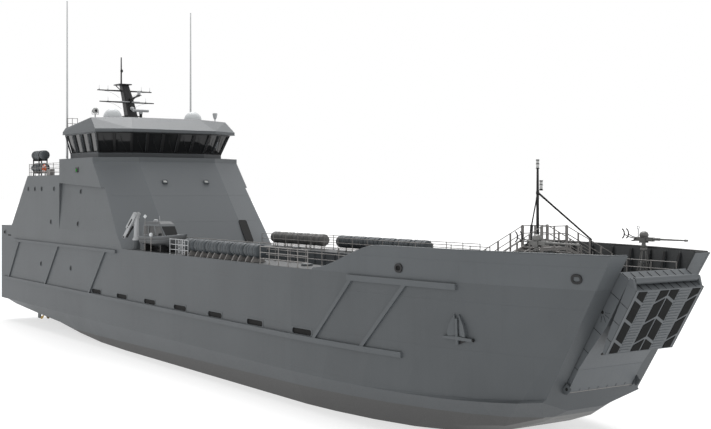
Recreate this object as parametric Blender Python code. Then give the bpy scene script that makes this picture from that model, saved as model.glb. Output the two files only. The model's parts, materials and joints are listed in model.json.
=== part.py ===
"""Military landing craft with a folding bow ramp, a 1:2 scale model.

Every size below is the full-size ship's, in metres: x from the transom towards the bow,
y to port, z up from the flat bottom. The empty scale_1_to_2 halves the whole ship and
puts the origin on the floor, midway along the length.
"""
import math

import bmesh
import bpy
from mathutils import Matrix, Vector

MODEL_SCALE = 0.5
LENGTH = 74.8408
GAP = 0.0006                      # between touching pieces: 0.3 mm on the model
SKIN_GAP = GAP * 2                # where the touching faces slope

# Main heights and half-breadths
HALF_BEAM = 6.36
DECK_Z = 7.80
VEHICLE_DECK_Z = 4.11
POOP_Z = 8.86
RAFT_DECK_Z = 13.41
WING_DECK_Z = 13.80
PARAPET_Z = 14.73
SILL_Z = 15.11
HEAD_Z = 16.73
BULWARK_Z = 9.31

# The bow ramp's hinge, and the angle of the raked bow front it lies against
RAMP_HINGE_X = 70.54
RAMP_HINGE_Z = 3.095
BOW_RAKE = math.radians(31.67)
RAMP_HALF_WIDTH = 2.14
OPENING_HALF_WIDTH = 2.20
TROUGH_RADIUS = 0.30

# Hull stations, aft to forward: x at the ramp hinge's height, x at the bulwark's top,
# half-breadth at the knuckle, half-breadth at the bulwark's top, half-breadth of the
# chine below the knuckle, knuckle height, half-breadth and height of the flat bottom
STATIONS = [
    (0.00, 0.00, 6.36, 6.36, 6.36, 2.14, 5.90, 1.94),
    (2.02, 2.02, 6.36, 6.36, 6.36, 2.14, 5.60, 1.50),
    (7.69, 7.69, 6.36, 6.36, 6.36, 2.14, 5.40, 1.09),
    (12.95, 12.95, 6.36, 6.36, 6.36, 2.14, 5.30, 0.81),
    (17.60, 17.60, 6.36, 6.36, 6.36, 2.14, 5.26, 0.36),
    (22.25, 22.25, 6.36, 6.36, 6.36, 2.14, 5.26, 0.08),
    (27.10, 27.10, 6.36, 6.36, 6.36, 2.14, 5.26, 0.00),
    (53.20, 53.20, 6.36, 6.36, 6.36, 2.14, 5.26, 0.00),
    (56.65, 58.26, 6.23, 6.13, 6.24, 2.14, 5.05, 0.00),
    (60.10, 62.70, 5.99, 5.73, 6.03, 2.16, 4.60, 0.00),
    (63.30, 66.80, 5.52, 5.30, 5.62, 2.20, 3.95, 0.02),
    (65.95, 69.60, 4.94, 4.72, 5.10, 2.26, 3.10, 0.12),
    (67.97, 71.60, 4.31, 4.11, 4.52, 2.36, 2.30, 0.42),
    (69.70, 73.43, 3.66, 3.52, 3.90, 2.50, 1.60, 1.13),
    (RAMP_HINGE_X, 74.38, 3.05, 3.23, 3.20, 2.60, 1.20, 1.82),
]
CHINE_DROP = 0.14

COLOURS = {
    # material: colour, roughness, metallic
    "hull_paint": ((0.150, 0.165, 0.178), 0.55, 0.0),
    "ramp_paint": ((0.155, 0.170, 0.182), 0.55, 0.0),
    "black_paint": ((0.012, 0.012, 0.013), 0.45, 0.0),
    "light_grey": ((0.420, 0.430, 0.440), 0.50, 0.0),
    "rail_paint": ((0.210, 0.205, 0.200), 0.50, 0.0),
    "gun_grey": ((0.180, 0.180, 0.175), 0.45, 0.3),
    "radome_white": ((0.700, 0.720, 0.730), 0.45, 0.0),
    "antenna_white": ((0.450, 0.460, 0.470), 0.50, 0.0),
    "window_glass": ((0.008, 0.009, 0.010), 0.08, 0.0),
    "raft_case": ((0.090, 0.105, 0.118), 0.50, 0.0),
    "boat_grey": ((0.075, 0.080, 0.085), 0.55, 0.0),
    "bronze": ((0.450, 0.300, 0.110), 0.30, 1.0),
    "steel": ((0.250, 0.250, 0.250), 0.40, 0.8),
}
SIDES = (("starboard", -1), ("port", 1))


def clear_scene():
    for item in list(bpy.data.objects):
        bpy.data.objects.remove(item, do_unlink=True)


def new_collection(name):
    group = bpy.data.collections.new(name)
    bpy.context.scene.collection.children.link(group)
    return group


def make_material(name):
    colour, rough, metal = COLOURS[name]
    paint = bpy.data.materials.new(name)
    paint.use_nodes = True
    shader = paint.node_tree.nodes["Principled BSDF"]
    shader.inputs["Base Color"].default_value = (*colour, 1.0)
    shader.inputs["Roughness"].default_value = rough
    shader.inputs["Metallic"].default_value = metal
    return paint


clear_scene()
SHIP = new_collection("landing_craft")
PAINTS = {name: make_material(name) for name in COLOURS}
ROOT = bpy.data.objects.new("scale_1_to_2", None)
SHIP.objects.link(ROOT)
ROOT.scale = (MODEL_SCALE,) * 3
ROOT.location = (-LENGTH / 2 * MODEL_SCALE, 0, 0)


# Shape tools

def from_bmesh(bm, name="shape"):
    bmesh.ops.recalc_face_normals(bm, faces=bm.faces)
    mesh = bpy.data.meshes.new(name)
    bm.to_mesh(mesh)
    bm.free()
    shape = bpy.data.objects.new(name, mesh)
    bpy.context.scene.collection.objects.link(shape)
    return shape


def box(low, high):
    bm = bmesh.new()
    size = [high[i] - low[i] for i in range(3)]
    middle = [(high[i] + low[i]) / 2 for i in range(3)]
    place = Matrix.Translation(middle) @ Matrix.Diagonal((*size, 1))
    bmesh.ops.create_cube(bm, size=1.0, matrix=place)
    return from_bmesh(bm)


def bar(start, end, width, depth=None, up=(0, 0, 1)):
    """A square or oblong bar between two points."""
    start = Vector(start)
    end = Vector(end)
    along = (end - start).normalized()
    side = along.cross(Vector(up))
    if side.length < 0.01:
        side = along.cross(Vector((0, 1, 0)))
    side.normalize()
    turn = Matrix((along, side, side.cross(along))).transposed().to_4x4()
    size = Matrix.Diagonal(((end - start).length, width, depth or width, 1))
    bm = bmesh.new()
    bmesh.ops.create_cube(bm, size=1.0, matrix=Matrix.Translation((start + end) / 2) @ turn @ size)
    return from_bmesh(bm)


def rod(start, end, radius, end_radius=None, sides=12):
    """A cylinder or cone between two points."""
    start = Vector(start)
    end = Vector(end)
    along = end - start
    turn = Vector((0, 0, 1)).rotation_difference(along.normalized()).to_matrix().to_4x4()
    bm = bmesh.new()
    bmesh.ops.create_cone(bm, cap_ends=True, segments=sides, radius1=radius,
                          radius2=radius if end_radius is None else end_radius,
                          depth=along.length, matrix=Matrix.Translation((start + end) / 2) @ turn)
    return from_bmesh(bm)


def ball(centre, radius, sides=16):
    bm = bmesh.new()
    bmesh.ops.create_uvsphere(bm, u_segments=sides, v_segments=sides // 2, radius=radius,
                              matrix=Matrix.Translation(centre))
    return from_bmesh(bm)


def hull_of(points):
    """The convex solid around a few corner points."""
    bm = bmesh.new()
    for point in points:
        bm.verts.new(point)
    bmesh.ops.convex_hull(bm, input=bm.verts)
    loose = [vert for vert in bm.verts if not vert.link_faces]
    bmesh.ops.delete(bm, geom=loose, context="VERTS")
    return from_bmesh(bm)


def plate(outline, plane, low, high):
    """A flat outline, filled and extruded from low to high across its plane.

    plane names the outline's two axes: xz plates are extruded along y, yz along x, xy along z.
    """
    curve = bpy.data.curves.new("outline", "CURVE")
    curve.dimensions = "2D"
    curve.fill_mode = "BOTH"
    curve.extrude = (high - low) / 2
    spline = curve.splines.new("POLY")
    spline.points.add(len(outline) - 1)
    for point, (a, b) in zip(spline.points, outline):
        point.co = (a, b, 0, 1)
    spline.use_cyclic_u = True
    guide = bpy.data.objects.new("outline", curve)
    mesh = bpy.data.meshes.new_from_object(guide)
    bpy.data.objects.remove(guide)
    middle = (low + high) / 2
    turns = {
        "xy": Matrix(((1, 0, 0, 0), (0, 1, 0, 0), (0, 0, 1, middle), (0, 0, 0, 1))),
        "xz": Matrix(((1, 0, 0, 0), (0, 0, -1, middle), (0, 1, 0, 0), (0, 0, 0, 1))),
        "yz": Matrix(((0, 0, 1, middle), (1, 0, 0, 0), (0, 1, 0, 0), (0, 0, 0, 1))),
    }
    mesh.transform(turns[plane])
    bm = bmesh.new()
    bm.from_mesh(mesh)
    bpy.data.meshes.remove(mesh)
    bmesh.ops.remove_doubles(bm, verts=bm.verts, dist=0.0001)
    return from_bmesh(bm)


def loft(sections):
    """A closed solid through loops of equally many points, capped at both ends.

    Its sides are triangles, so that a twisted face bends the same way in every copy.
    """
    bm = bmesh.new()
    loops = [[bm.verts.new(point) for point in section] for section in sections]
    for near, far in zip(loops, loops[1:]):
        for i in range(len(near)):
            j = (i + 1) % len(near)
            bm.faces.new((near[i], near[j], far[j]))
            bm.faces.new((near[i], far[j], far[i]))
    bm.faces.new(loops[0])
    bm.faces.new(loops[-1])
    return from_bmesh(bm)


def combine(base, others, operation):
    """Boolean of base with other shapes, which are used up. The result is a plain mesh."""
    for other in others:
        step = base.modifiers.new("step", "BOOLEAN")
        step.operation = operation
        step.object = other
        step.solver = "EXACT"
    bpy.context.view_layer.update()
    depsgraph = bpy.context.evaluated_depsgraph_get()
    mesh = bpy.data.meshes.new_from_object(base.evaluated_get(depsgraph))
    base.modifiers.clear()
    base.data = mesh
    for other in others:
        bpy.data.objects.remove(other)
    return base


def cut(base, *cutters):
    return combine(base, cutters, "DIFFERENCE")


def join(*shapes):
    """One body from shapes that run into each other."""
    return combine(shapes[0], shapes[1:], "UNION")


def mirrored(shape):
    """The same shape on the other side of the centreline."""
    mesh = shape.data.copy()
    mesh.transform(Matrix.Scale(-1, 4, (0, 1, 0)))
    mesh.flip_normals()
    twin = bpy.data.objects.new(shape.name, mesh)
    bpy.context.scene.collection.objects.link(twin)
    return twin


def node(name, shape, paint, pivot=None):
    """Name a finished shape, give it its paint and hang it on the scaled ship."""
    shape.name = name
    shape.data.name = name
    shape.data.materials.clear()
    shape.data.materials.append(PAINTS[paint])
    if pivot is not None:
        shape.data.transform(Matrix.Translation([-value for value in pivot]))
        shape.location = pivot
    shape.data.shade_smooth()
    shape.data.set_sharp_from_angle(angle=math.radians(35))
    for group in list(shape.users_collection):
        group.objects.unlink(shape)
    SHIP.objects.link(shape)
    shape.parent = ROOT
    return shape


def on_both_sides(name, shape, paint, pivot=None):
    """A starboard shape and its mirror image to port."""
    twin = mirrored(shape)
    node(name + "_starboard", shape, paint, pivot)
    if pivot is not None:
        pivot = (pivot[0], -pivot[1], pivot[2])
    node(name + "_port", twin, paint, pivot)


# The hull

PORT_LENGTH = 1.92
PORT_HEIGHT = 0.34
PORT_DEPTH = 0.45
PORT_Z = 4.13
FREEING_PORTS_X = (23.08, 28.08, 33.06, 37.95, 43.01, 48.13, 53.37)

# The open vehicle deck: x, half-width and floor height, down to the ramp's sill
WELL = ((30.95, 3.96, VEHICLE_DECK_Z), (58.5, 3.96, VEHICLE_DECK_Z), (66.5, OPENING_HALF_WIDTH, 3.80),
        (70.2, OPENING_HALF_WIDTH, 3.34), (76.0, OPENING_HALF_WIDTH, 3.30))


def station_point(station, z):
    """x and half-breadth of the side plating at one station and height."""
    x_low, x_top, b_low, b_top = station[:4]
    rise = (z - RAMP_HINGE_Z) / (BULWARK_Z - RAMP_HINGE_Z)
    return x_low + (x_top - x_low) * rise, b_low + (b_top - b_low) * rise


def side_at(x, z):
    """Half-breadth of the side plating at a place along the ship and a height."""
    points = [station_point(station, z) for station in STATIONS]
    for (x0, b0), (x1, b1) in zip(points, points[1:]):
        if x <= x1:
            return b0 + (b1 - b0) * (x - x0) / (x1 - x0)
    return points[-1][1]


def front_x(z):
    """x of the raked bow front at a height."""
    return RAMP_HINGE_X + (z - RAMP_HINGE_Z) * math.tan(BOW_RAKE)


def on_ramp(s, d):
    """x and z of a place s up along the stowed ramp and d out from the bow front."""
    sine = math.sin(BOW_RAKE)
    cosine = math.cos(BOW_RAKE)
    return RAMP_HINGE_X + s * sine + d * cosine, RAMP_HINGE_Z + s * cosine - d * sine


def hull_form(grow=0.0):
    """The hull's outer form up to the deck, with its half-breadths grown by a little."""
    sections = []
    for station in STATIONS:
        chine_b, knuckle_z, flat_b, flat_z = station[4:]
        half = []
        for z, b in ((DECK_Z, None), (knuckle_z, None), (knuckle_z - CHINE_DROP, chine_b), (flat_z, flat_b)):
            x, side_b = station_point(station, z)
            half.append((x, (side_b if b is None else b) + grow, z))
        sections.append(half + [(x, -y, z) for x, y, z in reversed(half)])
    return loft(sections)


def build_hull():
    well = []
    for x, half_width, floor_z in WELL:
        well.append([(x, half_width, floor_z), (x, half_width, DECK_Z + 1),
                     (x, -half_width, DECK_Z + 1), (x, -half_width, floor_z)])
    trough = rod((RAMP_HINGE_X, -OPENING_HALF_WIDTH, RAMP_HINGE_Z),
                 (RAMP_HINGE_X, OPENING_HALF_WIDTH, RAMP_HINGE_Z), TROUGH_RADIUS, sides=16)
    # The sill stands back from the inner face of the stowed ramp
    sill = plate([on_ramp(s, d) for s, d in ((-0.1, -0.29), (1.5, -0.29), (1.5, 0.6), (-0.1, 0.6))],
                 "xz", -OPENING_HALF_WIDTH, OPENING_HALF_WIDTH)
    cutters = [loft(well), join(trough, sill)]
    for name, side in SIDES:
        near, far = sorted((side * (HALF_BEAM - PORT_DEPTH), side * (HALF_BEAM + 0.4)))
        for x in FREEING_PORTS_X:
            cutters.append(box((x, near, PORT_Z), (x + PORT_LENGTH, far, PORT_Z + PORT_HEIGHT)))
    node("hull", cut(hull_form(), *cutters), "hull_paint")


# Fenders on the hull side

STRAKE_OUT = 0.13
STRUT_OUT = 0.11
ROOT_IN = 0.08                    # how far a fender is drawn into the side before it is trimmed
STRAKES = ((0.93, 62.77, 3.82, 4.10), (3.78, 28.02, 7.44, 7.67), (58.6, 66.5, 7.43, 7.73))
# Slanting bars: x at the upper strake, x at the lower one and the width
STRUTS = ((5.34, 2.31, 0.26), (15.58, 12.28, 0.26), (25.87, 22.50, 0.26),
          (58.9, 55.5, 0.30), (63.1, 59.7, 0.30))


def strake(x_from, x_to, z_low, z_high):
    """A rubbing strake that follows the side."""
    places = [x_from] + [s[0] for s in STATIONS if x_from + 0.3 < s[0] < x_to - 0.3] + [x_to]
    sections = []
    for x in places:
        sections.append([(x, -side_at(x, z) - out, z) for z, out in
                         ((z_low, -ROOT_IN), (z_high, -ROOT_IN), (z_high, STRAKE_OUT), (z_low, STRAKE_OUT))])
    return loft(sections)


def strut(x_top, x_low, width):
    """A flat slanting bar on the side, from an upper strake to the lower one."""
    sections = []
    for x, z in ((x_top, 7.5), (x_low, 4.0)):
        sections.append([(x + across, -side_at(x + across, z) - out, z) for across, out in
                         ((-width / 2, -ROOT_IN), (width / 2, -ROOT_IN),
                          (width / 2, STRUT_OUT), (-width / 2, STRUT_OUT))])
    return loft(sections)


def build_fenders():
    fender = join(*[strake(*place) for place in STRAKES], *[strut(*place) for place in STRUTS])
    twin = mirrored(fender)
    node("fenders_starboard", cut(fender, hull_form(SKIN_GAP)), "hull_paint")
    node("fenders_port", cut(twin, hull_form(SKIN_GAP)), "hull_paint")


# Forecastle bulwarks

SHEER_START_X = 55.3
SHEER_END_X = 61.1
BULWARK_THICK = 0.12
BULWARK_FRAMES_X = (63.4, 65.0, 66.6, 68.2, 69.7, 71.0, 72.2)


def sheer_z(x):
    """The bulwark's top edge: an S-curve up from the deck edge to the forecastle."""
    low = DECK_Z + 0.08
    t = min(max((x - SHEER_START_X) / (SHEER_END_X - SHEER_START_X), 0), 1)
    return low + (BULWARK_Z - low) * t * t * (3 - 2 * t)


def bulwark_section(low, top):
    """A slice of the bulwark between its lower and upper outer points."""
    inside = [(x, -b + BULWARK_THICK, z) for x, b, z in (top, low)]
    return [(x, -b, z) for x, b, z in (low, top)] + inside


def build_bulwarks():
    low_z = DECK_Z + GAP
    steps = 6
    sections = []
    for i in range(steps + 1):
        x = SHEER_START_X + (SHEER_END_X - SHEER_START_X) * i / steps
        top = sheer_z(x)
        sections.append(bulwark_section((x, side_at(x, low_z), low_z), (x, side_at(x, top), top)))
    for station in STATIONS:
        if station[1] > SHEER_END_X + 0.5:
            low = (*station_point(station, low_z), low_z)
            top = (*station_point(station, BULWARK_Z), BULWARK_Z)
            sections.append(bulwark_section(low, top))
    # The end plate turns in along the raked front to the edge of the ramp opening
    corners = ((low_z, 3.10), (low_z, OPENING_HALF_WIDTH), (BULWARK_Z, 3.20), (BULWARK_Z, OPENING_HALF_WIDTH))
    end_plate = hull_of([(front_x(z) - back, -b, z) for z, b in corners for back in (0.002, BULWARK_THICK)])
    parts = [loft(sections), end_plate]
    for x in BULWARK_FRAMES_X:
        profile = ((low_z, 0.06), (low_z, 0.42), (BULWARK_Z - 0.1, 0.06), (BULWARK_Z - 0.1, 0.20))
        parts.append(hull_of([(x + dx, -side_at(x, z) + inset, z) for dx in (0, 0.06) for z, inset in profile]))
    on_both_sides("bulwark", join(*parts), "hull_paint")


# Superstructure

HOUSE_FOOT_X = 30.95             # front of the deckhouse at the deck
HOUSE_TOP_X = 24.82              # its front at the parapet
FRONT_FLAT_B = 3.32              # half-breadth of the flat middle of the front
CORNER_RUN = 1.92                # how far the front's corners sweep back
WING_AFT_X = 15.74
RECESS_B = 6.12                  # half-breadth of the wall right under the wing
RECESS_FOOT_Z = 8.9
PARAPET_BEND_Z = 14.38           # the parapet's front leans up to here and stands upright above
PARAPET_THICK = 0.10


def house_front_x(z):
    return HOUSE_TOP_X + (PARAPET_Z - z) * (HOUSE_FOOT_X - HOUSE_TOP_X) / (PARAPET_Z - DECK_Z)


def build_deckhouse():
    base = DECK_Z + GAP
    profile = [(0.0, base), (0.0, POOP_Z), (3.01, POOP_Z), (7.59, RAFT_DECK_Z), (WING_AFT_X, RAFT_DECK_Z),
               (WING_AFT_X, WING_DECK_Z), (house_front_x(WING_DECK_Z), WING_DECK_Z), (house_front_x(base), base)]
    cutters = []
    outside = HALF_BEAM + 1
    back = CORNER_RUN * (outside - FRONT_FLAT_B) / (HALF_BEAM - FRONT_FLAT_B)
    for name, side in SIDES:
        corners = []
        for z in (base - 0.5, WING_DECK_Z + 0.5):
            x = house_front_x(z)
            corners += [(x, side * FRONT_FLAT_B, z), (x + 4, side * FRONT_FLAT_B, z),
                        (x + 4, side * outside, z), (x - back, side * outside, z)]
        cutters.append(hull_of(corners))
        # Below the bridge wing the wall leans in to the soffit, which is lower in front
        recess = []
        for soffit_z, forward in ((12.74, False), (12.22, True)):
            for z, b in ((soffit_z, RECESS_B), (soffit_z, outside), (RECESS_FOOT_Z, HALF_BEAM), (RECESS_FOOT_Z, outside)):
                recess.append((house_front_x(z) + 0.5 if forward else WING_AFT_X, side * b, z))
        cutters.append(hull_of(recess))
    node("deckhouse", cut(plate(profile, "xz", -HALF_BEAM, HALF_BEAM), *cutters), "hull_paint")


def wing_outline(z, inset):
    """The bridge wing's outline at a height, drawn in by inset."""
    front = house_front_x(min(z, PARAPET_BEND_Z)) - inset
    corner = front - CORNER_RUN + inset * 0.4
    side = HALF_BEAM - inset
    flat = FRONT_FLAT_B - inset * 0.28
    aft = WING_AFT_X + inset
    half = [(aft, -side, z), (corner, -side, z), (front, -flat, z)]
    return half + [(x, -y, z) for x, y, z in reversed(half)]


def build_parapet():
    low = WING_DECK_Z + GAP
    outer = loft([wing_outline(z, 0.0) for z in (low, PARAPET_BEND_Z, PARAPET_Z)])
    inner = loft([wing_outline(z, PARAPET_THICK) for z in (low - 0.5, PARAPET_BEND_Z, PARAPET_Z + 0.5)])
    node("bridge_parapet", cut(outer, inner), "hull_paint")


# Plan of the wheelhouse, one half: x and half-breadth at its aft corner, at the corner where
# the chamfer begins and at the front
WHEELHOUSE_PLAN = {
    "foot": ((15.90, 5.45), (22.11, 5.45), (23.41, 3.20)),
    "sill": ((15.90, 5.45), (22.11, 5.45), (23.41, 3.20)),
    "head": ((15.94, 5.95), (22.80, 5.95), (24.13, 3.47)),
    "rim": ((16.02, 6.16), (23.22, 6.16), (24.62, 3.63)),
}
WALL = 0.12
PANE = 0.04
# Panes on each wall: side, chamfer, front, chamfer, side, aft
PANES = (4, 2, 5, 2, 4, 4)
ROOF_AFT = (16.10, 17.30)
ROOF_FRONT = (21.87, 17.92)
ROOF_NOSE = (22.98, 17.98)


def plan_loop(level, inset=0.0):
    """The six corners of a wheelhouse level, with every wall drawn in by inset."""
    half = WHEELHOUSE_PLAN[level]
    loop = [Vector((x, -b)) for x, b in half] + [Vector((x, b)) for x, b in reversed(half)]
    corners = []
    for i, corner in enumerate(loop):
        before = (corner - loop[i - 1]).normalized()
        after = (loop[(i + 1) % len(loop)] - corner).normalized()
        inward = Vector((-before.y, before.x))
        middle = (inward + Vector((-after.y, after.x))).normalized()
        corners.append(tuple(corner + middle * inset / middle.dot(inward)))
    return corners


def levels(rows, inset=0.0):
    """A loft through wheelhouse levels, each a plan name and a height."""
    return loft([[(x, y, z) for x, y in plan_loop(name, inset)] for name, z in rows])


def window_cutters():
    """Blocks that cut the panes out of the walls."""
    lower = plan_loop("sill")
    upper = plan_loop("head")
    cutters = []
    for i, count in enumerate(PANES):
        j = (i + 1) % len(PANES)
        for k in range(count):
            corners = []
            for loop, z in ((lower, SILL_Z + 0.10), (upper, HEAD_Z - 0.06)):
                start = Vector((*loop[i], z))
                run = Vector((*loop[j], z)) - start
                out = Vector((run.y, -run.x, 0)).normalized() * 0.3
                margin = 0.09 / run.length
                for t in (k / count + margin, (k + 1) / count - margin):
                    corners += [start + run * t + out, start + run * t - out]
            cutters.append(hull_of(corners))
    return cutters


def build_wheelhouse():
    foot = WING_DECK_Z + GAP
    shell = levels((("foot", foot), ("sill", SILL_Z), ("head", HEAD_Z)))
    room = levels((("foot", foot - 0.01), ("sill", SILL_Z), ("head", HEAD_Z + 0.01)), WALL)
    node("wheelhouse_walls", cut(shell, room, *window_cutters()), "hull_paint")
    outside = WALL + SKIN_GAP
    glass = levels((("sill", SILL_Z), ("head", HEAD_Z + 0.01)), outside)
    hollow = levels((("sill", SILL_Z - 0.01), ("head", HEAD_Z + 0.02)), outside + PANE)
    above = box((10, -8, HEAD_Z - GAP), (30, 8, HEAD_Z + 1))
    node("wheelhouse_windows", cut(glass, hollow, above), "window_glass")
    # Roof: a shallow brim over the windows, with a raked fascia that is highest in front
    low = HEAD_Z + GAP
    points = [(x, y, z) for x, y in plan_loop("rim") for z in (low, low + 0.24)]
    for (x, z), b in ((ROOF_AFT, 5.97), (ROOF_FRONT, 5.97), (ROOF_NOSE, 3.03)):
        points += [(x, -b, z), (x, b, z)]
    node("wheelhouse_roof", hull_of(points), "hull_paint")


def roof_z(x):
    """Height of the roof's sloping top."""
    return ROOF_AFT[1] + (ROOF_FRONT[1] - ROOF_AFT[1]) * (x - ROOF_AFT[0]) / (ROOF_FRONT[0] - ROOF_AFT[0])


def on_roof(*shapes):
    """Shapes joined into one, with a foot that is trimmed to the sloping roof."""
    below = []
    for x in (14.0, ROOF_FRONT[0]):
        for y in (-7, 7):
            below += [(x, y, roof_z(x) + SKIN_GAP), (x, y, 15.0)]
    return cut(join(*shapes), hull_of(below))


# Main mast: x and height of the levels of its raked trunk, half-length and half-width there
TRUNK = ((16.9, 17.49, 0.80, 0.75), (15.6, 19.9, 0.62, 0.55), (14.6, 21.3, 0.55, 0.42))
YARDS = ((14.75, 20.95), (15.25, 19.80))
YARD_HALF = 2.85
RADAR_X = 17.9
RADAR_TURN_Z = 18.62


def build_mast():
    trunk = loft([[(x - a, -w, z), (x + a, -w, z), (x + a, w, z), (x - a, w, z)] for x, z, a, w in TRUNK])
    foot = box((15.95, -0.95, 17.1), (18.4, 0.95, 17.57))
    platform = box((13.45, -0.85, 21.25), (15.55, 0.85, 21.40))
    pole = rod((13.7, 0, 21.3), (13.35, 0, 23.85), 0.09, 0.05, 8)
    yards = [rod((x, -YARD_HALF, z), (x, YARD_HALF, z), 0.07, sides=8) for x, z in YARDS]
    arm = bar((15.7, 0, 20.1), (17.6, 0, 20.25), 0.16)
    lamp = rod((17.5, 0, 20.2), (17.5, 0, 20.62), 0.14, sides=10)
    radar_post = rod((RADAR_X, 0, 17.4), (RADAR_X, 0, RADAR_TURN_Z), 0.13, sides=12)
    mast = on_roof(foot, trunk, platform, pole, *yards, arm, lamp, radar_post)
    node("main_mast", mast, "black_paint")
    turn_z = RADAR_TURN_Z + GAP
    scanner = join(rod((RADAR_X, 0, turn_z), (RADAR_X, 0, turn_z + 0.25), 0.16, sides=12),
                   box((RADAR_X - 0.15, -0.85, turn_z + 0.15), (RADAR_X + 0.15, 0.85, turn_z + 0.40)))
    node("radar_scanner", scanner, "light_grey", (RADAR_X, 0, turn_z))


def build_roof_fittings():
    for name, side in SIDES:
        x, y = 20.51, side * 3.60
        foot = roof_z(x)
        dome = on_roof(ball((x, y, foot + 0.28), 0.75, 20))
        node("radome_" + name, dome, "radome_white")
        x, y = WING_AFT_X + 0.05, side * 5.70
        whip = join(rod((x, y, PARAPET_Z + GAP), (x, y, PARAPET_Z + 0.08), 0.045, sides=8),
                    rod((x, y, PARAPET_Z + 0.06), (x, y, 17.6), 0.10, 0.10, 8),
                    rod((x, y, 17.5), (x, y, 28.0), 0.08, 0.02, 8))
        node("whip_antenna_" + name, whip, "antenna_white")
        x, y = 21.2, side * 5.35
        light = on_roof(rod((x, y, roof_z(x) - 0.1), (x, y, 18.25), 0.06, sides=8),
                        bar((x, y - 0.30, 18.20), (x, y + 0.30, 18.20), 0.06),
                        bar((x, y, 18.15), (x, y, 18.40), 0.10),
                        rod((x - 0.22, y, 18.50), (x + 0.22, y, 18.50), 0.26, sides=16))
        node("searchlight_" + name, light, "light_grey")


# Rafts and rails

def canisters(x_from, x_to, count, y, z, radius, ribs, sides=10):
    """Ribbed raft canisters end to end along the ship."""
    margin = radius * 0.15
    length = (x_to - x_from) / count
    pitch = (length - margin * 2) / ribs
    rows = []
    for i in range(count):
        first = x_from + length * i
        rows.append((first, radius * 0.66))
        for k in range(ribs):
            start = first + margin + pitch * k
            rows += [(start, radius * 0.92), (start + pitch * 0.5, radius)]
    rows.append((x_to, radius * 0.66))
    angles = [2 * math.pi * k / sides for k in range(sides)]
    return loft([[(x, y + r * math.cos(a), z + r * math.sin(a)) for a in angles] for x, r in rows])


def build_aft_rafts():
    y = -5.78
    half = 0.40
    foot = RAFT_DECK_Z + GAP
    parts = []
    for x in (8.5, 9.95):
        for near in (-half, half - 0.08):
            parts.append(box((x, y + near, foot), (x + 0.12, y + near + 0.08, 15.1)))
        for z in (13.62, 14.72):
            parts.append(box((x, y - half, z), (x + 0.12, y + half, z + 0.14)))
    for z in (14.12, 15.22):
        parts.append(canisters(7.95, 10.75, 1, y, z, 0.42, 3))
    parts.append(box((9.2, y - 0.3, 14.3), (9.3, y + 0.3, 15.0)))
    node("aft_liferafts", join(*parts), "raft_case")


RAIL = 0.045
RAIL_POST = 0.055
RAIL_HEIGHT = 1.05
RAIL_COURSES = (0.70, RAIL_HEIGHT)


def rail_run(name, start, end, bays):
    """A straight guardrail: posts and courses between two points on a deck."""
    start = Vector(start)
    end = Vector(end)
    along = (end - start).normalized()
    parts = []
    for height in RAIL_COURSES:
        rise = Vector((0, 0, height - RAIL / 2))
        parts.append(bar(start + rise - along * RAIL / 2, end + rise + along * RAIL / 2, RAIL))
    for i in range(bays + 1):
        foot = start + (end - start) * i / bays
        parts.append(bar(foot, foot + Vector((0, 0, RAIL_HEIGHT)), RAIL_POST, up=along))
    node(name, join(*parts), "rail_paint")


def build_rails():
    z = RAFT_DECK_Z + GAP
    rail_run("raft_deck_rails_aft", (7.75, -6.10, z), (7.75, 6.10, z), 6)
    for name, side in SIDES:
        y = side * 6.25
        rail_run("raft_deck_rails_" + name, (7.75, y, z), (15.55, y, z), 4)
    z = DECK_Z + GAP
    for name, side in SIDES:
        y = side * 4.06
        rail_run("casing_rails_" + name, (31.6, y, z), (58.2, y, z), 11)
        y = side * 2.30
        rail_run("forecastle_rails_" + name, (67.2, y, z), (73.2, y, z), 4)
    rail_run("edge_rails_starboard", (49.5, -6.22, z), (54.8, -6.22, z), 4)
    rail_run("edge_rails_port", (31.8, 6.22, z), (54.8, 6.22, z), 9)


# Side decks

def raft_row(name, x_from, x_to, y, count):
    """Ribbed raft canisters end to end on one rack with a foot under each."""
    pitch = (x_to - x_from) / count
    parts = [canisters(x_from, x_to, count, y, DECK_Z + 0.68, 0.46, 2),
             box((x_from + 0.1, y - 0.10, DECK_Z + 0.06), (x_to - 0.1, y + 0.10, DECK_Z + 0.15))]
    foot = ((-0.5, DECK_Z + GAP), (0.5, DECK_Z + GAP), (-0.25, DECK_Z + 0.3), (0.25, DECK_Z + 0.3))
    for i in range(count):
        middle = x_from + pitch * (i + 0.5)
        parts.append(hull_of([(middle + dx, y + dy, z) for dx in (-0.09, 0.09) for dy, z in foot]))
    node(name, join(*parts), "raft_case")


BOAT_Y = -5.20
BOAT_KEEL_Z = 8.00
# Boat sections, aft to forward: x, then above the keel's height: keel, gunwale half-breadth,
# chine half-breadth, chine height, gunwale height
BOAT = ((31.3, 0.10, 0.84, 0.74, 0.36, 0.76), (33.6, 0.00, 0.87, 0.76, 0.36, 0.80),
        (35.4, 0.08, 0.76, 0.56, 0.45, 0.90), (36.6, 0.40, 0.42, 0.25, 0.66, 1.00),
        (37.4, 0.82, 0.08, 0.05, 0.95, 1.07))
BOAT_CABIN = ((31.75, 0.74, 0.65), (35.5, 0.52, 0.65), (31.8, 0.66, 1.70), (34.4, 0.56, 1.75),
              (31.9, 0.54, 1.89), (34.1, 0.46, 1.92))


def boat_form(grow=0.0):
    """The boat's deep-V hull, grown by a little."""
    sections = []
    for x, keel, beam, chine_b, chine_z, top in BOAT:
        half = [(beam + grow, top), (chine_b + grow, chine_z - grow)]
        loop = half + [(0, keel - grow)] + [(-b, z) for b, z in reversed(half)]
        sections.append([(x, BOAT_Y + b, BOAT_KEEL_Z + z) for b, z in loop])
    return loft(sections)


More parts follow.
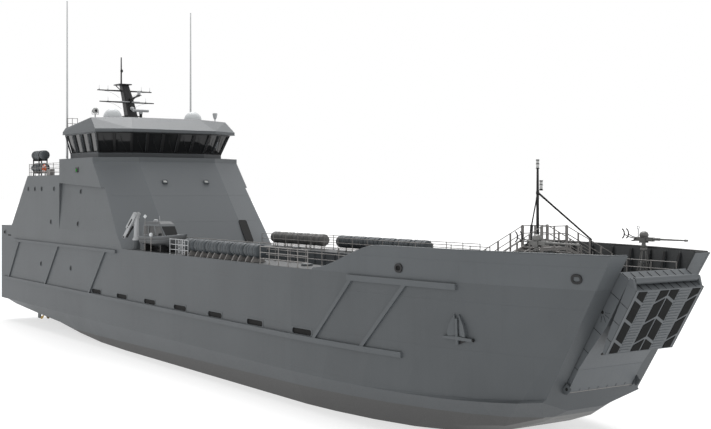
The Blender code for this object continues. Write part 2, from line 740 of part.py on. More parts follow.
def build_boat():
    cabin = hull_of([(x, BOAT_Y + side * b, BOAT_KEEL_Z + z) for side in (-1, 1) for x, b, z in BOAT_CABIN])
    node("rescue_boat", join(boat_form(), cabin), "boat_grey")
    low = DECK_Z + GAP
    parts = [box((31.8, BOAT_Y - 0.12, low), (35.2, BOAT_Y + 0.12, DECK_Z + 0.12))]
    for x in (32.0, 34.7):
        parts.append(box((x, BOAT_Y - 0.70, low), (x + 0.16, BOAT_Y + 0.70, DECK_Z + 0.50)))
    node("boat_cradle", cut(join(*parts), boat_form(SKIN_GAP)), "black_paint")


CRANE_X = 30.25
CRANE_Y = -5.72
CRANE_TURN_Z = 8.47
CRANE_HEAD_Z = 10.35
CRANE_HEADING = math.radians(213)     # where the stowed boom points: aft and outboard
BOOM_DROP = math.radians(58)          # how far it hangs down
BOOM_LENGTH = 1.95
CHEEK_OUT = 0.25


def build_crane():
    foot = Vector((CRANE_X, CRANE_Y, DECK_Z + GAP))
    turn = Vector((CRANE_X, CRANE_Y, CRANE_TURN_Z))
    pivot = Vector((CRANE_X, CRANE_Y, CRANE_HEAD_Z))
    up = Vector((0, 0, 1))
    heading = Vector((math.cos(CRANE_HEADING), math.sin(CRANE_HEADING), 0))
    across = heading.cross(up)
    node("crane_base", rod(foot, turn - up * GAP, 0.27, sides=20), "black_paint")
    column = join(rod(turn, turn + up * 0.20, 0.29, sides=20),
                  rod(turn + up * 0.1, pivot - up * 0.05, 0.20, 0.17, 16),
                  bar(pivot - up * 0.28, pivot + up * 0.17, 0.30, 0.34, up=heading),
                  rod(pivot - across * 0.32, pivot + across * 0.32, FLAP_PIN_RADIUS, sides=20))
    node("crane_column", column, "light_grey", turn)
    # Two cheeks straddle the column's head and meet in the boom
    along = heading * math.cos(BOOM_DROP) - up * math.sin(BOOM_DROP)
    top = across.cross(along)
    parts = [bar(pivot + along * 0.75, pivot + along * 1.18, CHEEK_OUT * 2, 0.24, up=top),
             bar(pivot + along * 0.78, pivot + along * BOOM_LENGTH, 0.30, 0.28, up=top)]
    for side in (-1, 1):
        middle = pivot + across * CHEEK_OUT * side
        cheek = bar(middle - along * 0.16, middle + along * 1.2, 0.08, 0.30, up=top)
        bore = rod(middle - across * 0.2, middle + across * 0.2, FLAP_BORE_RADIUS, sides=20)
        parts.append(cut(cheek, bore))
    tip = pivot + along * BOOM_LENGTH
    parts.append(bar(tip - along * 0.10, tip + along * 0.10, 0.20, 0.18, up=top))
    housing = pivot - top * 0.20
    parts.append(bar(housing + along * 0.9, housing + along * 1.85, 0.16, 0.18, up=top))
    node("crane_boom", join(*parts), "light_grey", pivot)


# Forecastle

CATWALK_X = 66.5
CATWALK_Z = 9.35
CATWALK_HALF = 0.46               # half its width along the ship
CATWALK_FLAT_B = 1.53             # half-breadth of its flat middle
CATWALK_FOOT_B = 4.70             # half-breadth at the foot of its stairs
CATWALK_POSTS_Y = (-4.4, -3.0, -CATWALK_FLAT_B, 0.0, CATWALK_FLAT_B, 3.0, 4.4)
CATWALK_COURSES = (0.66, 1.03)


def walk_z(y):
    """Height of the walkway under its rail, at a distance from the centreline."""
    t = min(max((abs(y) - CATWALK_FLAT_B) / (CATWALK_POSTS_Y[-1] - CATWALK_FLAT_B), 0), 1)
    return CATWALK_Z + (DECK_Z + 0.1 - CATWALK_Z) * t


def build_catwalk():
    low = DECK_Z + GAP
    thick = 0.12
    upper = [(-CATWALK_FOOT_B, low), (-CATWALK_FLAT_B, CATWALK_Z),
             (CATWALK_FLAT_B, CATWALK_Z), (CATWALK_FOOT_B, low)]
    lower = [(CATWALK_FOOT_B - 0.34, low), (CATWALK_FLAT_B - 0.08, CATWALK_Z - thick),
             (-CATWALK_FLAT_B + 0.08, CATWALK_Z - thick), (-CATWALK_FOOT_B + 0.34, low)]
    parts = [plate(upper + lower, "yz", CATWALK_X - CATWALK_HALF, CATWALK_X + CATWALK_HALF)]
    size = 0.05
    bends = [CATWALK_POSTS_Y[0], -CATWALK_FLAT_B, CATWALK_FLAT_B, CATWALK_POSTS_Y[-1]]
    for x in (CATWALK_X - CATWALK_HALF + 0.04, CATWALK_X + CATWALK_HALF - 0.04):
        for rise in CATWALK_COURSES:
            places = [Vector((x, y, walk_z(y) + rise)) for y in bends]
            for start, end in zip(places, places[1:]):
                reach = (end - start).normalized() * size / 2
                parts.append(bar(start - reach, end + reach, size, up=(1, 0, 0)))
        for y in CATWALK_POSTS_Y:
            foot = max(walk_z(y) - 0.05, low + 0.02)
            top = walk_z(y) + CATWALK_COURSES[-1] + size / 2
            parts.append(bar((x, y, foot), (x, y, top), 0.07, up=(1, 0, 0)))
    node("catwalk", join(*parts), "rail_paint")


def lantern(x, low, high):
    """A round mast lantern with a flange."""
    middle = (low + high) / 2
    return [rod((x, 0, low), (x, 0, high), 0.11, sides=12),
            rod((x, 0, middle - 0.025), (x, 0, middle + 0.025), 0.16, sides=12)]


def build_fore_mast():
    x = CATWALK_X - 0.15
    foot = CATWALK_Z + GAP
    fork_z = 11.75
    # The port leg stands on the deck, clear of the catwalk's stairs
    knee = (x, 2.6, 10.25)
    elbow = (CATWALK_X - CATWALK_HALF - 0.11, 3.72, 9.60)
    parts = [rod((x, 0, foot), (x, 0, 13.2), 0.085, 0.06, 10), rod((x, 0, fork_z), knee, 0.06, sides=8),
             rod(knee, elbow, 0.06, sides=8), ball(knee, 0.07, 8), ball(elbow, 0.07, 8),
             rod((elbow[0], elbow[1], DECK_Z + GAP), elbow, 0.06, sides=8),
             rod((x, 0, fork_z), (x - 0.16, 0, foot + 0.004), 0.035, sides=8),
             bar((x, 0, 12.0), (x + 0.22, 0, 12.0), 0.08)]
    node("fore_mast", join(*parts, *lantern(x, 13.1, 13.64), *lantern(x + 0.22, 11.95, 12.5)), "black_paint")


GUN_X = 70.15
GUN_Y = 3.55
GUN_TURN_Z = 9.35


def build_guns():
    y = -GUN_Y
    foot = DECK_Z + GAP
    parts = [rod((GUN_X, y, foot), (GUN_X, y, foot + 0.42), 0.40, sides=16),
             rod((GUN_X, y, GUN_TURN_Z - 0.22), (GUN_X, y, GUN_TURN_Z - GAP), 0.13, sides=12)]
    for k in range(3):
        a = 2 * math.pi * k / 3 + 0.5
        out = Vector((math.cos(a), math.sin(a), 0))
        low = Vector((GUN_X, y, foot + 0.36)) + out * 0.33
        high = Vector((GUN_X, y, GUN_TURN_Z - 0.12)) + out * 0.08
        parts.append(bar(low, high, 0.10, up=out))
    on_both_sides("gun_pedestal", join(*parts), "gun_grey")
    z = GUN_TURN_Z
    rest_x = GUN_X - 1.25
    barrel_z = z + 0.42
    gun = [rod((GUN_X, y, z), (GUN_X, y, z + 0.30), 0.16, 0.10, 12),
           box((GUN_X - 0.55, y - 0.13, z + 0.26), (GUN_X + 0.62, y + 0.13, z + 0.50)),
           ball((GUN_X, y, z + 0.62), 0.24, 12),
           rod((GUN_X + 0.5, y, barrel_z), (GUN_X + 2.55, y, barrel_z), 0.055, 0.040, 10),
           rod((GUN_X + 2.50, y, barrel_z), (GUN_X + 2.68, y, barrel_z), 0.06, sides=10),
           bar((GUN_X - 0.4, y, z + 0.4), (rest_x, y, z + 0.62), 0.06),
           bar((rest_x, y, z + 0.42), (rest_x, y, z + 0.90), 0.06),
           bar((GUN_X - 0.35, y, z + 0.45), (GUN_X - 0.35, y, z + 1.06), 0.05),
           bar((GUN_X - 0.75, y, z + 1.03), (GUN_X - 0.08, y, z + 1.03), 0.05)]
    on_both_sides("gun", join(*gun), "gun_grey", (GUN_X, y, z))


# Bow ramp. Its outlines are drawn in the stowed plane: s up along it from the hinge,
# d outwards from the raked bow front.

PIN_RADIUS = 0.090
BORE_RADIUS = 0.0918
RAMP_ROOT_RADIUS = 0.20
RAMP_OUTLINE = ((0.30, 0.115), (1.19, 0.20), (2.25, 0.32), (3.26, 0.47), (3.95, 0.555), (6.20, 0.555),
                (6.41, 0.52), (6.41, -0.06), (6.10, -0.20), (0.55, -0.20))
RAMP_WEB = ((6.30, 0.45), (6.36, 0.60), (6.46, 0.69), (6.405, 0.45))
FLAP_HINGE = (6.466, 0.694)
FLAP_TUBE_RADIUS = 0.158
FLAP_TUBE_HALF = 2.03
FLAP_PIN_RADIUS = 0.070
FLAP_BORE_RADIUS = 0.0718
FLAP_OUTLINE = ((2.85, 0.99), (3.95, 0.80), (6.10, 0.605), (6.27, 0.605), (6.29, 1.173), (2.85, 1.173))
FLAP_CHEEK = ((6.05, 0.62), (6.366, 0.56), (6.566, 0.58), (6.596, 0.75), (6.20, 1.16), (6.05, 1.16))


def ramp_plate(outline, low, high):
    return plate([on_ramp(s, d) for s, d in outline], "xz", low, high)


def build_ramp():
    hinge = (RAMP_HINGE_X, 0, RAMP_HINGE_Z)
    turns = [math.radians(-120 - 25 * k) for k in range(6)]
    root = tuple((RAMP_ROOT_RADIUS * math.cos(a), RAMP_ROOT_RADIUS * math.sin(a)) for a in turns)
    tube_x, tube_z = on_ramp(*FLAP_HINGE)
    body = join(ramp_plate(root + RAMP_OUTLINE, -RAMP_HALF_WIDTH, RAMP_HALF_WIDTH),
                ramp_plate(RAMP_WEB, -FLAP_TUBE_HALF + 0.08, FLAP_TUBE_HALF - 0.08),
                rod((tube_x, -FLAP_TUBE_HALF, tube_z), (tube_x, FLAP_TUBE_HALF, tube_z),
                    FLAP_TUBE_RADIUS, sides=20))
    bores = [rod((RAMP_HINGE_X, -3, RAMP_HINGE_Z), (RAMP_HINGE_X, 3, RAMP_HINGE_Z), BORE_RADIUS, sides=20)]
    for side in (-1, 1):
        bores.append(rod((tube_x, side * 1.80, tube_z), (tube_x, side * 2.6, tube_z), FLAP_BORE_RADIUS, sides=20))
    node("bow_ramp", cut(body, *bores), "ramp_paint", hinge)
    parts = [ramp_plate(FLAP_OUTLINE, -OPENING_HALF_WIDTH, OPENING_HALF_WIDTH)]
    for side in (-1, 1):
        near, far = sorted((side * 2.06, side * 2.19))
        parts.append(ramp_plate(FLAP_CHEEK, near, far))
        parts.append(rod((tube_x, side * 1.85, tube_z), (tube_x, side * 2.18, tube_z), FLAP_PIN_RADIUS, sides=20))
    node("ramp_flap", join(*parts), "ramp_paint", (tube_x, 0, tube_z))
    # One pin through the ramp's root, with a lug at each end that sits in the hull's trough
    pin_half = OPENING_HALF_WIDTH - 0.01
    lugs = [rod((RAMP_HINGE_X, -pin_half, RAMP_HINGE_Z), (RAMP_HINGE_X, pin_half, RAMP_HINGE_Z), PIN_RADIUS, sides=20)]
    for side in (-1, 1):
        start = (RAMP_HINGE_X, side * (RAMP_HALF_WIDTH + 0.013), RAMP_HINGE_Z)
        end = (RAMP_HINGE_X, side * (OPENING_HALF_WIDTH - GAP), RAMP_HINGE_Z)
        lugs.append(rod(start, end, TROUGH_RADIUS - SKIN_GAP, sides=16))
    node("ramp_hinge_pin", join(*lugs), "black_paint")


# Under the stern

PROP_X = 4.90
PROP_Y = 3.84
PROP_Z = 0.66
# Blade sections, hub to tip: radius, chord, pitch in degrees, thickness
BLADE = ((0.08, 0.16, 62, 0.030), (0.25, 0.34, 45, 0.022), (0.42, 0.36, 34, 0.016), (0.56, 0.16, 27, 0.010))
RUDDER_X = 3.55
RUDDER_TOP_Z = 1.15
STOCK_RADIUS = 0.06
RUDDER_SECTION = ((0.28, 0.0), (0.12, 0.07), (0.12, -0.07), (-0.62, 0.01), (-0.62, -0.01))


def stern_bottom_z(x):
    """Height of the flat bottom under the stern."""
    for aft, ahead in zip(STATIONS, STATIONS[1:]):
        if x <= ahead[0]:
            return aft[7] + (ahead[7] - aft[7]) * (x - aft[0]) / (ahead[0] - aft[0])
    return 0.0


def hull_bottom_cutter():
    """The space above the stern's flat bottom, with the usual gap."""
    stern = STATIONS[:5]
    outline = [(station[0], station[7] - SKIN_GAP) for station in stern]
    return plate(outline + [(stern[-1][0], 6.0), (0.0, 6.0)], "xz", -6.5, 6.5)


def propeller_blade(y, angle):
    """A thin twisted blade from the hub outwards."""
    sections = []
    for radius, chord, pitch, thick in BLADE:
        turn = -math.radians(pitch)
        section = []
        for along, across in ((-chord / 2, 0), (0, thick / 2), (chord / 2, 0), (0, -thick / 2)):
            fore = along * math.sin(turn) + across * math.cos(turn)
            round_way = along * math.cos(turn) - across * math.sin(turn)
            section.append((PROP_X + fore, y + radius * math.cos(angle) - round_way * math.sin(angle),
                            PROP_Z + radius * math.sin(angle) + round_way * math.cos(angle)))
        sections.append(section)
    return loft(sections)


def build_stern_gear():
    y = -PROP_Y
    bracket = [(PROP_X + 0.55 + dx, y + dy, z) for dx in (-0.12, 0.12) for dy in (-0.035, 0.035) for z in (PROP_Z, 1.34)]
    shaft = join(rod((PROP_X + 0.1665, y, PROP_Z), (11.2, y, PROP_Z + 0.42), 0.075, sides=12), hull_of(bracket),
                 rod((PROP_X + 0.25, y, PROP_Z), (PROP_X + 0.75, y, PROP_Z + 0.02), 0.12, sides=12))
    on_both_sides("propeller_shaft", cut(shaft, hull_bottom_cutter()), "steel")
    parts = [rod((PROP_X - 0.22, y, PROP_Z), (PROP_X + 0.16, y, PROP_Z), 0.09, 0.13, 14)]
    for k in range(4):
        parts.append(propeller_blade(y, math.pi / 2 * k + math.pi / 4))
    on_both_sides("propeller", join(*parts), "bronze", (PROP_X, y, PROP_Z))
    blade = hull_of([(RUDDER_X + x, y + w, z) for x, w in RUDDER_SECTION for z in (0.16, RUDDER_TOP_Z)])
    stock_top = stern_bottom_z(RUDDER_X + STOCK_RADIUS) - SKIN_GAP
    stock = rod((RUDDER_X, y, RUDDER_TOP_Z - 0.05), (RUDDER_X, y, stock_top), STOCK_RADIUS, sides=12)
    on_both_sides("rudder", join(blade, stock), "hull_paint", (RUDDER_X, y, RUDDER_TOP_Z))


# Stowed anchors: places on them as x and z from the anchor's middle
ANCHOR_AT = (66.42, 5.3)
ANCHOR_SHANK = ((-0.10, -0.45), (0.08, -0.45), (-0.06, 0.80), (0.06, 0.80))
ANCHOR_STOCK = ((-0.85, -0.20), (0.88, -0.25), (-0.85, -0.08), (0.88, -0.07))
ANCHOR_FLUKE = ((0.06, -0.09), (0.52, -0.09), (0.45, 0.30), (0.13, 1.00))


def on_skin(places, out):
    """A plate on the starboard side plating, through places around the anchor's middle."""
    points = []
    for dx, dz in places:
        x = ANCHOR_AT[0] + dx
        z = ANCHOR_AT[1] + dz
        points += [(x, -side_at(x, z) + ROOT_IN, z), (x, -side_at(x, z) - out, z)]
    return hull_of(points)


def build_anchors():
    parts = [on_skin(ANCHOR_SHANK, 0.13), on_skin(ANCHOR_STOCK, 0.13)]
    for way in (-1, 1):
        parts.append(on_skin([(way * dx, dz) for dx, dz in ANCHOR_FLUKE], 0.11))
    anchor = join(*parts)
    twin = mirrored(anchor)
    node("anchor_starboard", cut(anchor, hull_form(SKIN_GAP)), "hull_paint")
    node("anchor_port", cut(twin, hull_form(SKIN_GAP)), "hull_paint")


def build_ship():
    build_hull()
    build_fenders()
    build_bulwarks()
    build_deckhouse()
    build_parapet()
    build_wheelhouse()
    build_mast()
    build_roof_fittings()
    build_aft_rafts()
    build_rails()
    raft_row("raft_row_starboard", 38.54, 48.73, -5.66, 6)
    raft_row("raft_row_port_aft", 30.9, 38.35, 5.55, 5)
    raft_row("raft_row_port_forward", 40.2, 50.6, 5.55, 6)
    build_boat()
    build_crane()
    build_catwalk()
    build_fore_mast()
    build_guns()
    build_ramp()
    build_stern_gear()
    build_anchors()


build_ship()
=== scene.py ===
"""Looks of the military landing craft model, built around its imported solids.

Every size below is the full-size ship's, in metres: x from the transom towards the bow,
y to port, z up from the flat bottom. Shape.piece halves a finished piece into the frame.
"""
import json
import math

import bmesh
import bpy
from mathutils import Matrix, Vector
from mathutils.bvhtree import BVHTree


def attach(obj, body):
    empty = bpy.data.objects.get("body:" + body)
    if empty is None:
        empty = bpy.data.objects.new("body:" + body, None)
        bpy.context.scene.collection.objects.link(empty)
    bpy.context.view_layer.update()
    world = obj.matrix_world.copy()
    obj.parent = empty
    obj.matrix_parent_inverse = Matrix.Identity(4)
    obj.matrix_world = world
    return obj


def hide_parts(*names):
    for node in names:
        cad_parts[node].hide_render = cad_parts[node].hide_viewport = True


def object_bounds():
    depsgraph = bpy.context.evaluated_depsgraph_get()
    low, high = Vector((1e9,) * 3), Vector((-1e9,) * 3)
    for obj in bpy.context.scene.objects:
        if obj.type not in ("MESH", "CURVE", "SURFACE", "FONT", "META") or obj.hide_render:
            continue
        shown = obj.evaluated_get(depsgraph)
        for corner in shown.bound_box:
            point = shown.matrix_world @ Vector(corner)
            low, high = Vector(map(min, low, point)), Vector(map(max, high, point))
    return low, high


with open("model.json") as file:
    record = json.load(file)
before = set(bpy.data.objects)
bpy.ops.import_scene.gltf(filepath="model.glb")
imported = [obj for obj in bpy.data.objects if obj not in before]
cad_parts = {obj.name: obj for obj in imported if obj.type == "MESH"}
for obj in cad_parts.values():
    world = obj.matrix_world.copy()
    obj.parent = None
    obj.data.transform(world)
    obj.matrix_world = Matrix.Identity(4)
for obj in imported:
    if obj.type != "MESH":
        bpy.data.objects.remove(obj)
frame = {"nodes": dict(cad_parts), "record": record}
CAD_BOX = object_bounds()

SCALE = 0.5
LENGTH = (CAD_BOX[1].x - CAD_BOX[0].x) / SCALE
TO_FRAME = Matrix.Translation((-LENGTH / 2 * SCALE, 0, 0)) @ Matrix.Scale(SCALE, 4)
TO_SHIP = TO_FRAME.inverted()
SIDES = (("starboard", -1), ("port", 1))
UP = Vector((0, 0, 1))
AHEAD = Vector((1, 0, 0))

# Places that the solids fix
DECK_Z = 7.80
POOP_Z = 8.86
RAFT_DECK_Z = 13.41
WING_DECK_Z = 13.80
PARAPET_Z = 14.73
SILL_Z = 15.11
HEAD_Z = 16.73
BULWARK_Z = 9.31
LIFT = 0.001                          # keeps a foot off the deck that it stands on


def frame_x(x):
    return (x - LENGTH / 2) * SCALE


# Camera, light and floor

HEADING = math.radians(34.27)         # the camera looks aft and to port by this much
CAMERA_AT = (108.05, -39.31, 12.14)
LENS = 57.48
SHIFT_Y = -0.0342


def add_object(name, data):
    thing = bpy.data.objects.new(name, data)
    bpy.context.scene.collection.objects.link(thing)
    return thing


def set_stage():
    camera = add_object("camera", bpy.data.cameras.new("camera"))
    camera.location = TO_FRAME @ Vector(CAMERA_AT)
    camera.rotation_euler = (math.radians(90), 0, math.radians(90) - HEADING)
    camera.data.lens = LENS
    camera.data.shift_y = SHIFT_Y
    camera.data.clip_end = 2000
    bpy.context.scene.camera = camera
    bpy.context.scene.view_settings.view_transform = "Standard"

    world = bpy.data.worlds.new("studio")
    bpy.context.scene.world = world
    world.use_nodes = True
    sky = world.node_tree.nodes["Background"]
    sky.inputs["Color"].default_value = (1.0, 1.0, 1.0, 1)
    # White behind the craft, dimmer overhead
    way, parts, fade = [world.node_tree.nodes.new("ShaderNode" + kind) for kind in
                        ("TexCoord", "SeparateXYZ", "MapRange")]
    for start, end in ((way.outputs["Generated"], parts.inputs[0]), (parts.outputs[2], fade.inputs["Value"]),
                       (fade.outputs[0], sky.inputs["Strength"])):
        world.node_tree.links.new(start, end)
    for socket, value in (("From Min", 0.18), ("From Max", 1.0), ("To Min", 1.0), ("To Max", 0.5)):
        fade.inputs[socket].default_value = value

    sun = add_object("overhead", bpy.data.lights.new("overhead", "SUN"))
    sun.data.energy = 2.7
    sun.data.angle = math.radians(40)
    sun.rotation_euler = (math.radians(-10), math.radians(-28), 0)

    floor_mesh = bmesh.new()
    bmesh.ops.create_circle(floor_mesh, cap_ends=True, segments=96, radius=700)
    floor = add_object("floor", bpy.data.meshes.new("floor"))
    floor_mesh.to_mesh(floor.data)
    floor_mesh.free()
    floor.location.z = -0.002
    floor.data.materials.append(floor_look().material)


# Materials

class Look:
    """One procedural material, built node by node around its Principled shader."""

    def __init__(self, name, slot, colour, rough, metal=0.0):
        self.material = bpy.data.materials.new(name)
        self.material.use_nodes = True
        self.tree = self.material.node_tree
        self.shader = self.tree.nodes["Principled BSDF"]
        self.slot = slot
        self.rough = rough
        self.base = (*colour, 1)
        self.set({"Metallic": metal, "Roughness": rough, "Specular IOR Level": 0.35, "Base Color": self.base})
        self.colour = None
        self.height = None
        self.place = self.step("TexCoord").outputs["Object"]

    def set(self, values):
        for socket, value in values.items():
            self.shader.inputs[socket].default_value = value

    def step(self, kind, inputs=(), **options):
        """One node: its options, then what goes into its sockets, values or other sockets."""
        node = self.tree.nodes.new("ShaderNode" + kind)
        for key, value in options.items():
            setattr(node, key, value)
        for key, value in dict(inputs).items():
            if isinstance(value, bpy.types.NodeSocket):
                self.tree.links.new(value, node.inputs[key])
            else:
                node.inputs[key].default_value = value
        return node

    def math(self, operation, a, b=0.0):
        return self.step("Math", {0: a, 1: b}, operation=operation).outputs[0]

    def parts(self, socket):
        return self.step("SeparateXYZ", {0: socket}).outputs

    def noise(self, scale, stretch=(1, 1, 1), detail=3.0):
        place = self.step("Mapping", {"Vector": self.place, "Scale": stretch}).outputs[0]
        return self.step("TexNoise", {"Vector": place, "Scale": scale, "Detail": detail}).outputs[0]

    def ramp(self, value, low, high, out_low=0.0, out_high=1.0):
        inputs = {"Value": value, "From Min": low, "From Max": high, "To Min": out_low, "To Max": out_high}
        return self.step("MapRange", inputs).outputs[0]

    def mix(self, factor, colour, blend="MIX"):
        inputs = {0: factor, 6: self.colour or self.base, 7: colour}
        self.colour = self.step("Mix", inputs, data_type="RGBA", blend_type=blend).outputs[2]

    def blend(self, factor, colour):
        """Mix a colour over what is there, by a factor socket."""
        self.mix(factor, (*colour, 1))

    def shade(self, factor, amount):
        """Darken what is there by a factor socket."""
        self.mix(1.0, self.ramp(factor, 0.0, 1.0, 1.0, 1.0 - amount), "MULTIPLY")

    def raise_by(self, value, height):
        """Add a value socket, in frame metres once scaled, to the bump."""
        part = self.math("MULTIPLY", value, height)
        self.height = part if self.height is None else self.math("ADD", self.height, part)

    def vary_rough(self, value, spread):
        rough = self.ramp(value, 0.3, 0.7, self.rough - spread, self.rough + spread)
        self.tree.links.new(rough, self.shader.inputs["Roughness"])

    def done(self):
        if self.colour is not None:
            self.tree.links.new(self.colour, self.shader.inputs["Base Color"])
        if self.height is not None:
            bump = self.step("Bump", {"Height": self.height, "Distance": 1.0, "Strength": 1.0})
            self.tree.links.new(bump.outputs[0], self.shader.inputs["Normal"])
        return self


def seams(look, length, height):
    """Welded plate seams: faint grooves, in frame metres, on every upright side."""
    x, y, z = look.parts(look.place)
    flat = look.step("CombineXYZ", {0: look.math("ADD", x, y), 1: z}).outputs[0]
    bricks = look.step("TexBrick", {"Vector": flat, "Scale": 1.0, "Mortar Size": 0.006, "Mortar Smooth": 0.6,
                                    "Brick Width": length, "Row Height": height}, offset=0.35)
    look.shade(bricks.outputs["Fac"], 0.10)
    look.raise_by(bricks.outputs["Fac"], -0.0015)


def painted(name, colour, rough=0.5, metal=0.0, slot=None, patches=0.10, streaks=0.06, plates=None, deck=None,
            top_from=0.80):
    """Weathered paint: broad patches, fine dirt that runs down, an uneven sheen and faint waviness."""
    look = Look(name, slot or name, colour, rough, metal)
    broad = look.noise(0.45, detail=5)
    look.shade(look.ramp(broad, 0.35, 0.68), patches)
    runs = look.noise(3.2, (1.0, 1.0, 0.07), detail=4)
    look.shade(look.ramp(runs, 0.52, 0.80), streaks)
    fine = look.noise(38, detail=2)
    look.vary_rough(fine, 0.06)
    look.raise_by(look.noise(2.1, detail=2), 0.0012)
    look.raise_by(fine, 0.00012)
    if plates:
        seams(look, *plates)
    # Faces turned up take another colour: deck paint on the hull, painted light on the house and roof tops
    if deck:
        normal = look.step("TexCoord").outputs["Normal"]
        top = look.ramp(look.parts(normal)[2], top_from, top_from + 0.10)
        grit = look.noise(160, detail=1)
        look.blend(top, deck)
        look.raise_by(look.math("MULTIPLY", grit, top), 0.0010)
    return look


# The paint line rises evenly along the ship; the topsides take painted shade that deepens forward; under the
# bow the flat bottom is a worn, lighter grey
PAINT_LINE_Z = 0.73
PAINT_LINE_X = 27.0
PAINT_RISE = 0.0172
FORWARD_PAINTED_SHADE_X = (22.0, 56.0)
WORN_FROM_X = 63.3
WORN_HALF = 3.98
WORN_TAPER = 0.375


def hull_look():
    """Grey topsides, with painted shade deepening forward, over a charcoal bottom."""
    look = painted("hull_side", HULL_GREY, 0.52, slot="hull_paint", plates=(2.9, 1.15),
                   deck=(0.050, 0.053, 0.055))
    x, y, z = look.parts(look.place)
    # Painted shade: the topsides darken towards the bow
    look.shade(look.ramp(x, *map(frame_x, FORWARD_PAINTED_SHADE_X)), 0.14)
    ends = (0.0, LENGTH)
    heights = [(PAINT_LINE_Z + PAINT_RISE * (end - PAINT_LINE_X)) * SCALE for end in ends]
    line = look.ramp(x, *map(frame_x, ends), *heights)
    under = look.ramp(look.math("SUBTRACT", line, z), -0.006, 0.006)
    look.blend(under, (0.060, 0.060, 0.060))
    bow_x = frame_x(WORN_FROM_X)
    half = look.ramp(x, bow_x, bow_x + 5, WORN_HALF * SCALE, WORN_HALF * SCALE - 5 * WORN_TAPER)
    inside = look.ramp(look.math("SUBTRACT", half, look.math("ABSOLUTE", y)), -0.004, 0.004)
    worn = look.math("MULTIPLY", look.math("MULTIPLY", inside, under), look.ramp(x, bow_x + 0.4, bow_x + 2.8))
    look.blend(worn, (0.170, 0.172, 0.170))
    return look.done()


def bulwark_look():
    """Bulwark plating, with painted shade making its inner side nearly black."""
    look = painted("bulwark_paint", HULL_GREY, 0.52, slot="hull_paint", plates=(2.4, 1.10))
    across = look.parts(look.step("TexCoord").outputs["Normal"])[1]
    side = look.math("SIGN", look.parts(look.place)[1])
    # Painted shade: faces turned inboard take a near-black colour
    inner = look.ramp(look.math("MULTIPLY", across, side), -0.15, -0.40)
    look.blend(inner, (0.045, 0.048, 0.050))
    return look.done()


def wall_look():
    """Wheelhouse walls, with painted shade below the window sill."""
    look = painted("wall_paint", (0.136, 0.149, 0.158), 0.52, slot="hull_paint")
    # Painted shade: the wall darkens below the sill
    below = look.ramp(look.parts(look.place)[2], SILL_Z * SCALE, (SILL_Z - 0.04) * SCALE)
    look.blend(below, (0.055, 0.060, 0.065))
    return look.done()


def pad_look():
    """Black anti-slip coating with a coarse grain."""
    look = Look("anti_slip", "black_paint", (0.012, 0.0125, 0.0125), 0.85)
    look.set({"Specular IOR Level": 0.15})
    look.shade(look.noise(9), 0.35)
    look.raise_by(look.noise(120, detail=1), 0.002)
    return look.done()


def glass_look(name, slot, colour, rough):
    """Dark glass with a faint bloom of dirt."""
    look = Look(name, slot, colour, rough)
    look.shade(look.noise(1.3), 0.4)
    look.vary_rough(look.noise(6), 0.03)
    return look.done()


def floor_look():
    look = Look("floor_paper", "floor", (0.42, 0.42, 0.42), 0.9)
    look.set({"Emission Color": (1, 1, 1, 1), "Emission Strength": 0.62})
    look.shade(look.noise(0.02), 0.02)
    return look.done()


HULL_GREY = (0.090, 0.099, 0.106)
PAINTS = (
    ("hull_paint", HULL_GREY, 0.52, dict(plates=(2.4, 1.10))),
    # House and roof: faces turned up take a lighter colour, painted light
    ("house_paint", (0.097, 0.106, 0.112), 0.52, dict(slot="hull_paint", plates=(2.4, 0.99),
                                                      deck=(0.121, 0.131, 0.139), top_from=0.40)),
    ("roof_paint", (0.100, 0.109, 0.115), 0.52, dict(slot="hull_paint", deck=(0.150, 0.159, 0.165),
                                                     top_from=0.55)),
    ("ramp_paint", (0.106, 0.116, 0.124), 0.50, {}),
    ("black_paint", (0.014, 0.014, 0.015), 0.45, dict(patches=0.2)),
    ("dull_grey", (0.078, 0.086, 0.092), 0.50, dict(slot="black_paint")),
    ("raft_pale", (0.135, 0.133, 0.127), 0.55, dict(slot="raft_case", patches=0.15)),
    ("light_grey", (0.420, 0.430, 0.440), 0.50, dict(patches=0.08, streaks=0.12)),
    ("rail_paint", (0.250, 0.240, 0.232), 0.50, dict(streaks=0.10)),
    ("gun_grey", (0.180, 0.180, 0.175), 0.42, dict(metal=0.3, patches=0.15)),
    ("radome_white", (0.600, 0.620, 0.630), 0.45, dict(patches=0.04, streaks=0.05)),
    ("antenna_white", (0.520, 0.530, 0.535), 0.50, dict(patches=0.05)),
    ("raft_case", (0.058, 0.067, 0.074), 0.55, dict(patches=0.12)),
    ("boat_grey", (0.078, 0.082, 0.086), 0.55, dict(patches=0.12)),
    ("boat_cabin", (0.110, 0.119, 0.126), 0.50, dict(slot="boat_grey")),
    ("bronze", (0.480, 0.330, 0.120), 0.32, dict(metal=1.0, patches=0.25, streaks=0.0)),
    ("steel", (0.260, 0.260, 0.260), 0.40, dict(metal=0.8, patches=0.2)),
    ("orange", (0.620, 0.110, 0.020), 0.6, dict(slot="raft_case")),
    ("shadow", (0.004, 0.004, 0.004), 0.8, dict(slot="black_paint")),
)
GLASSES = (
    ("window_glass", "window_glass", (0.020, 0.021, 0.022), 0.06),
    ("lamp_glass", "radome_white", (0.55, 0.56, 0.55), 0.15),
    ("green_glass", "radome_white", (0.02, 0.30, 0.03), 0.15),
    ("red_glass", "radome_white", (0.40, 0.02, 0.015), 0.15),
)
LOOKS = {name: painted(name, colour, rough, **options).done() for name, colour, rough, options in PAINTS}
LOOKS.update({row[0]: glass_look(*row) for row in GLASSES})
LOOKS.update(hull_side=hull_look(), bulwark_paint=bulwark_look(), wall_paint=wall_look(),
             anti_slip=pad_look())


# Shapes

def turn_to(along):
    """The turn that takes z to a direction."""
    return UP.rotation_difference(Vector(along).normalized()).to_matrix().to_4x4()


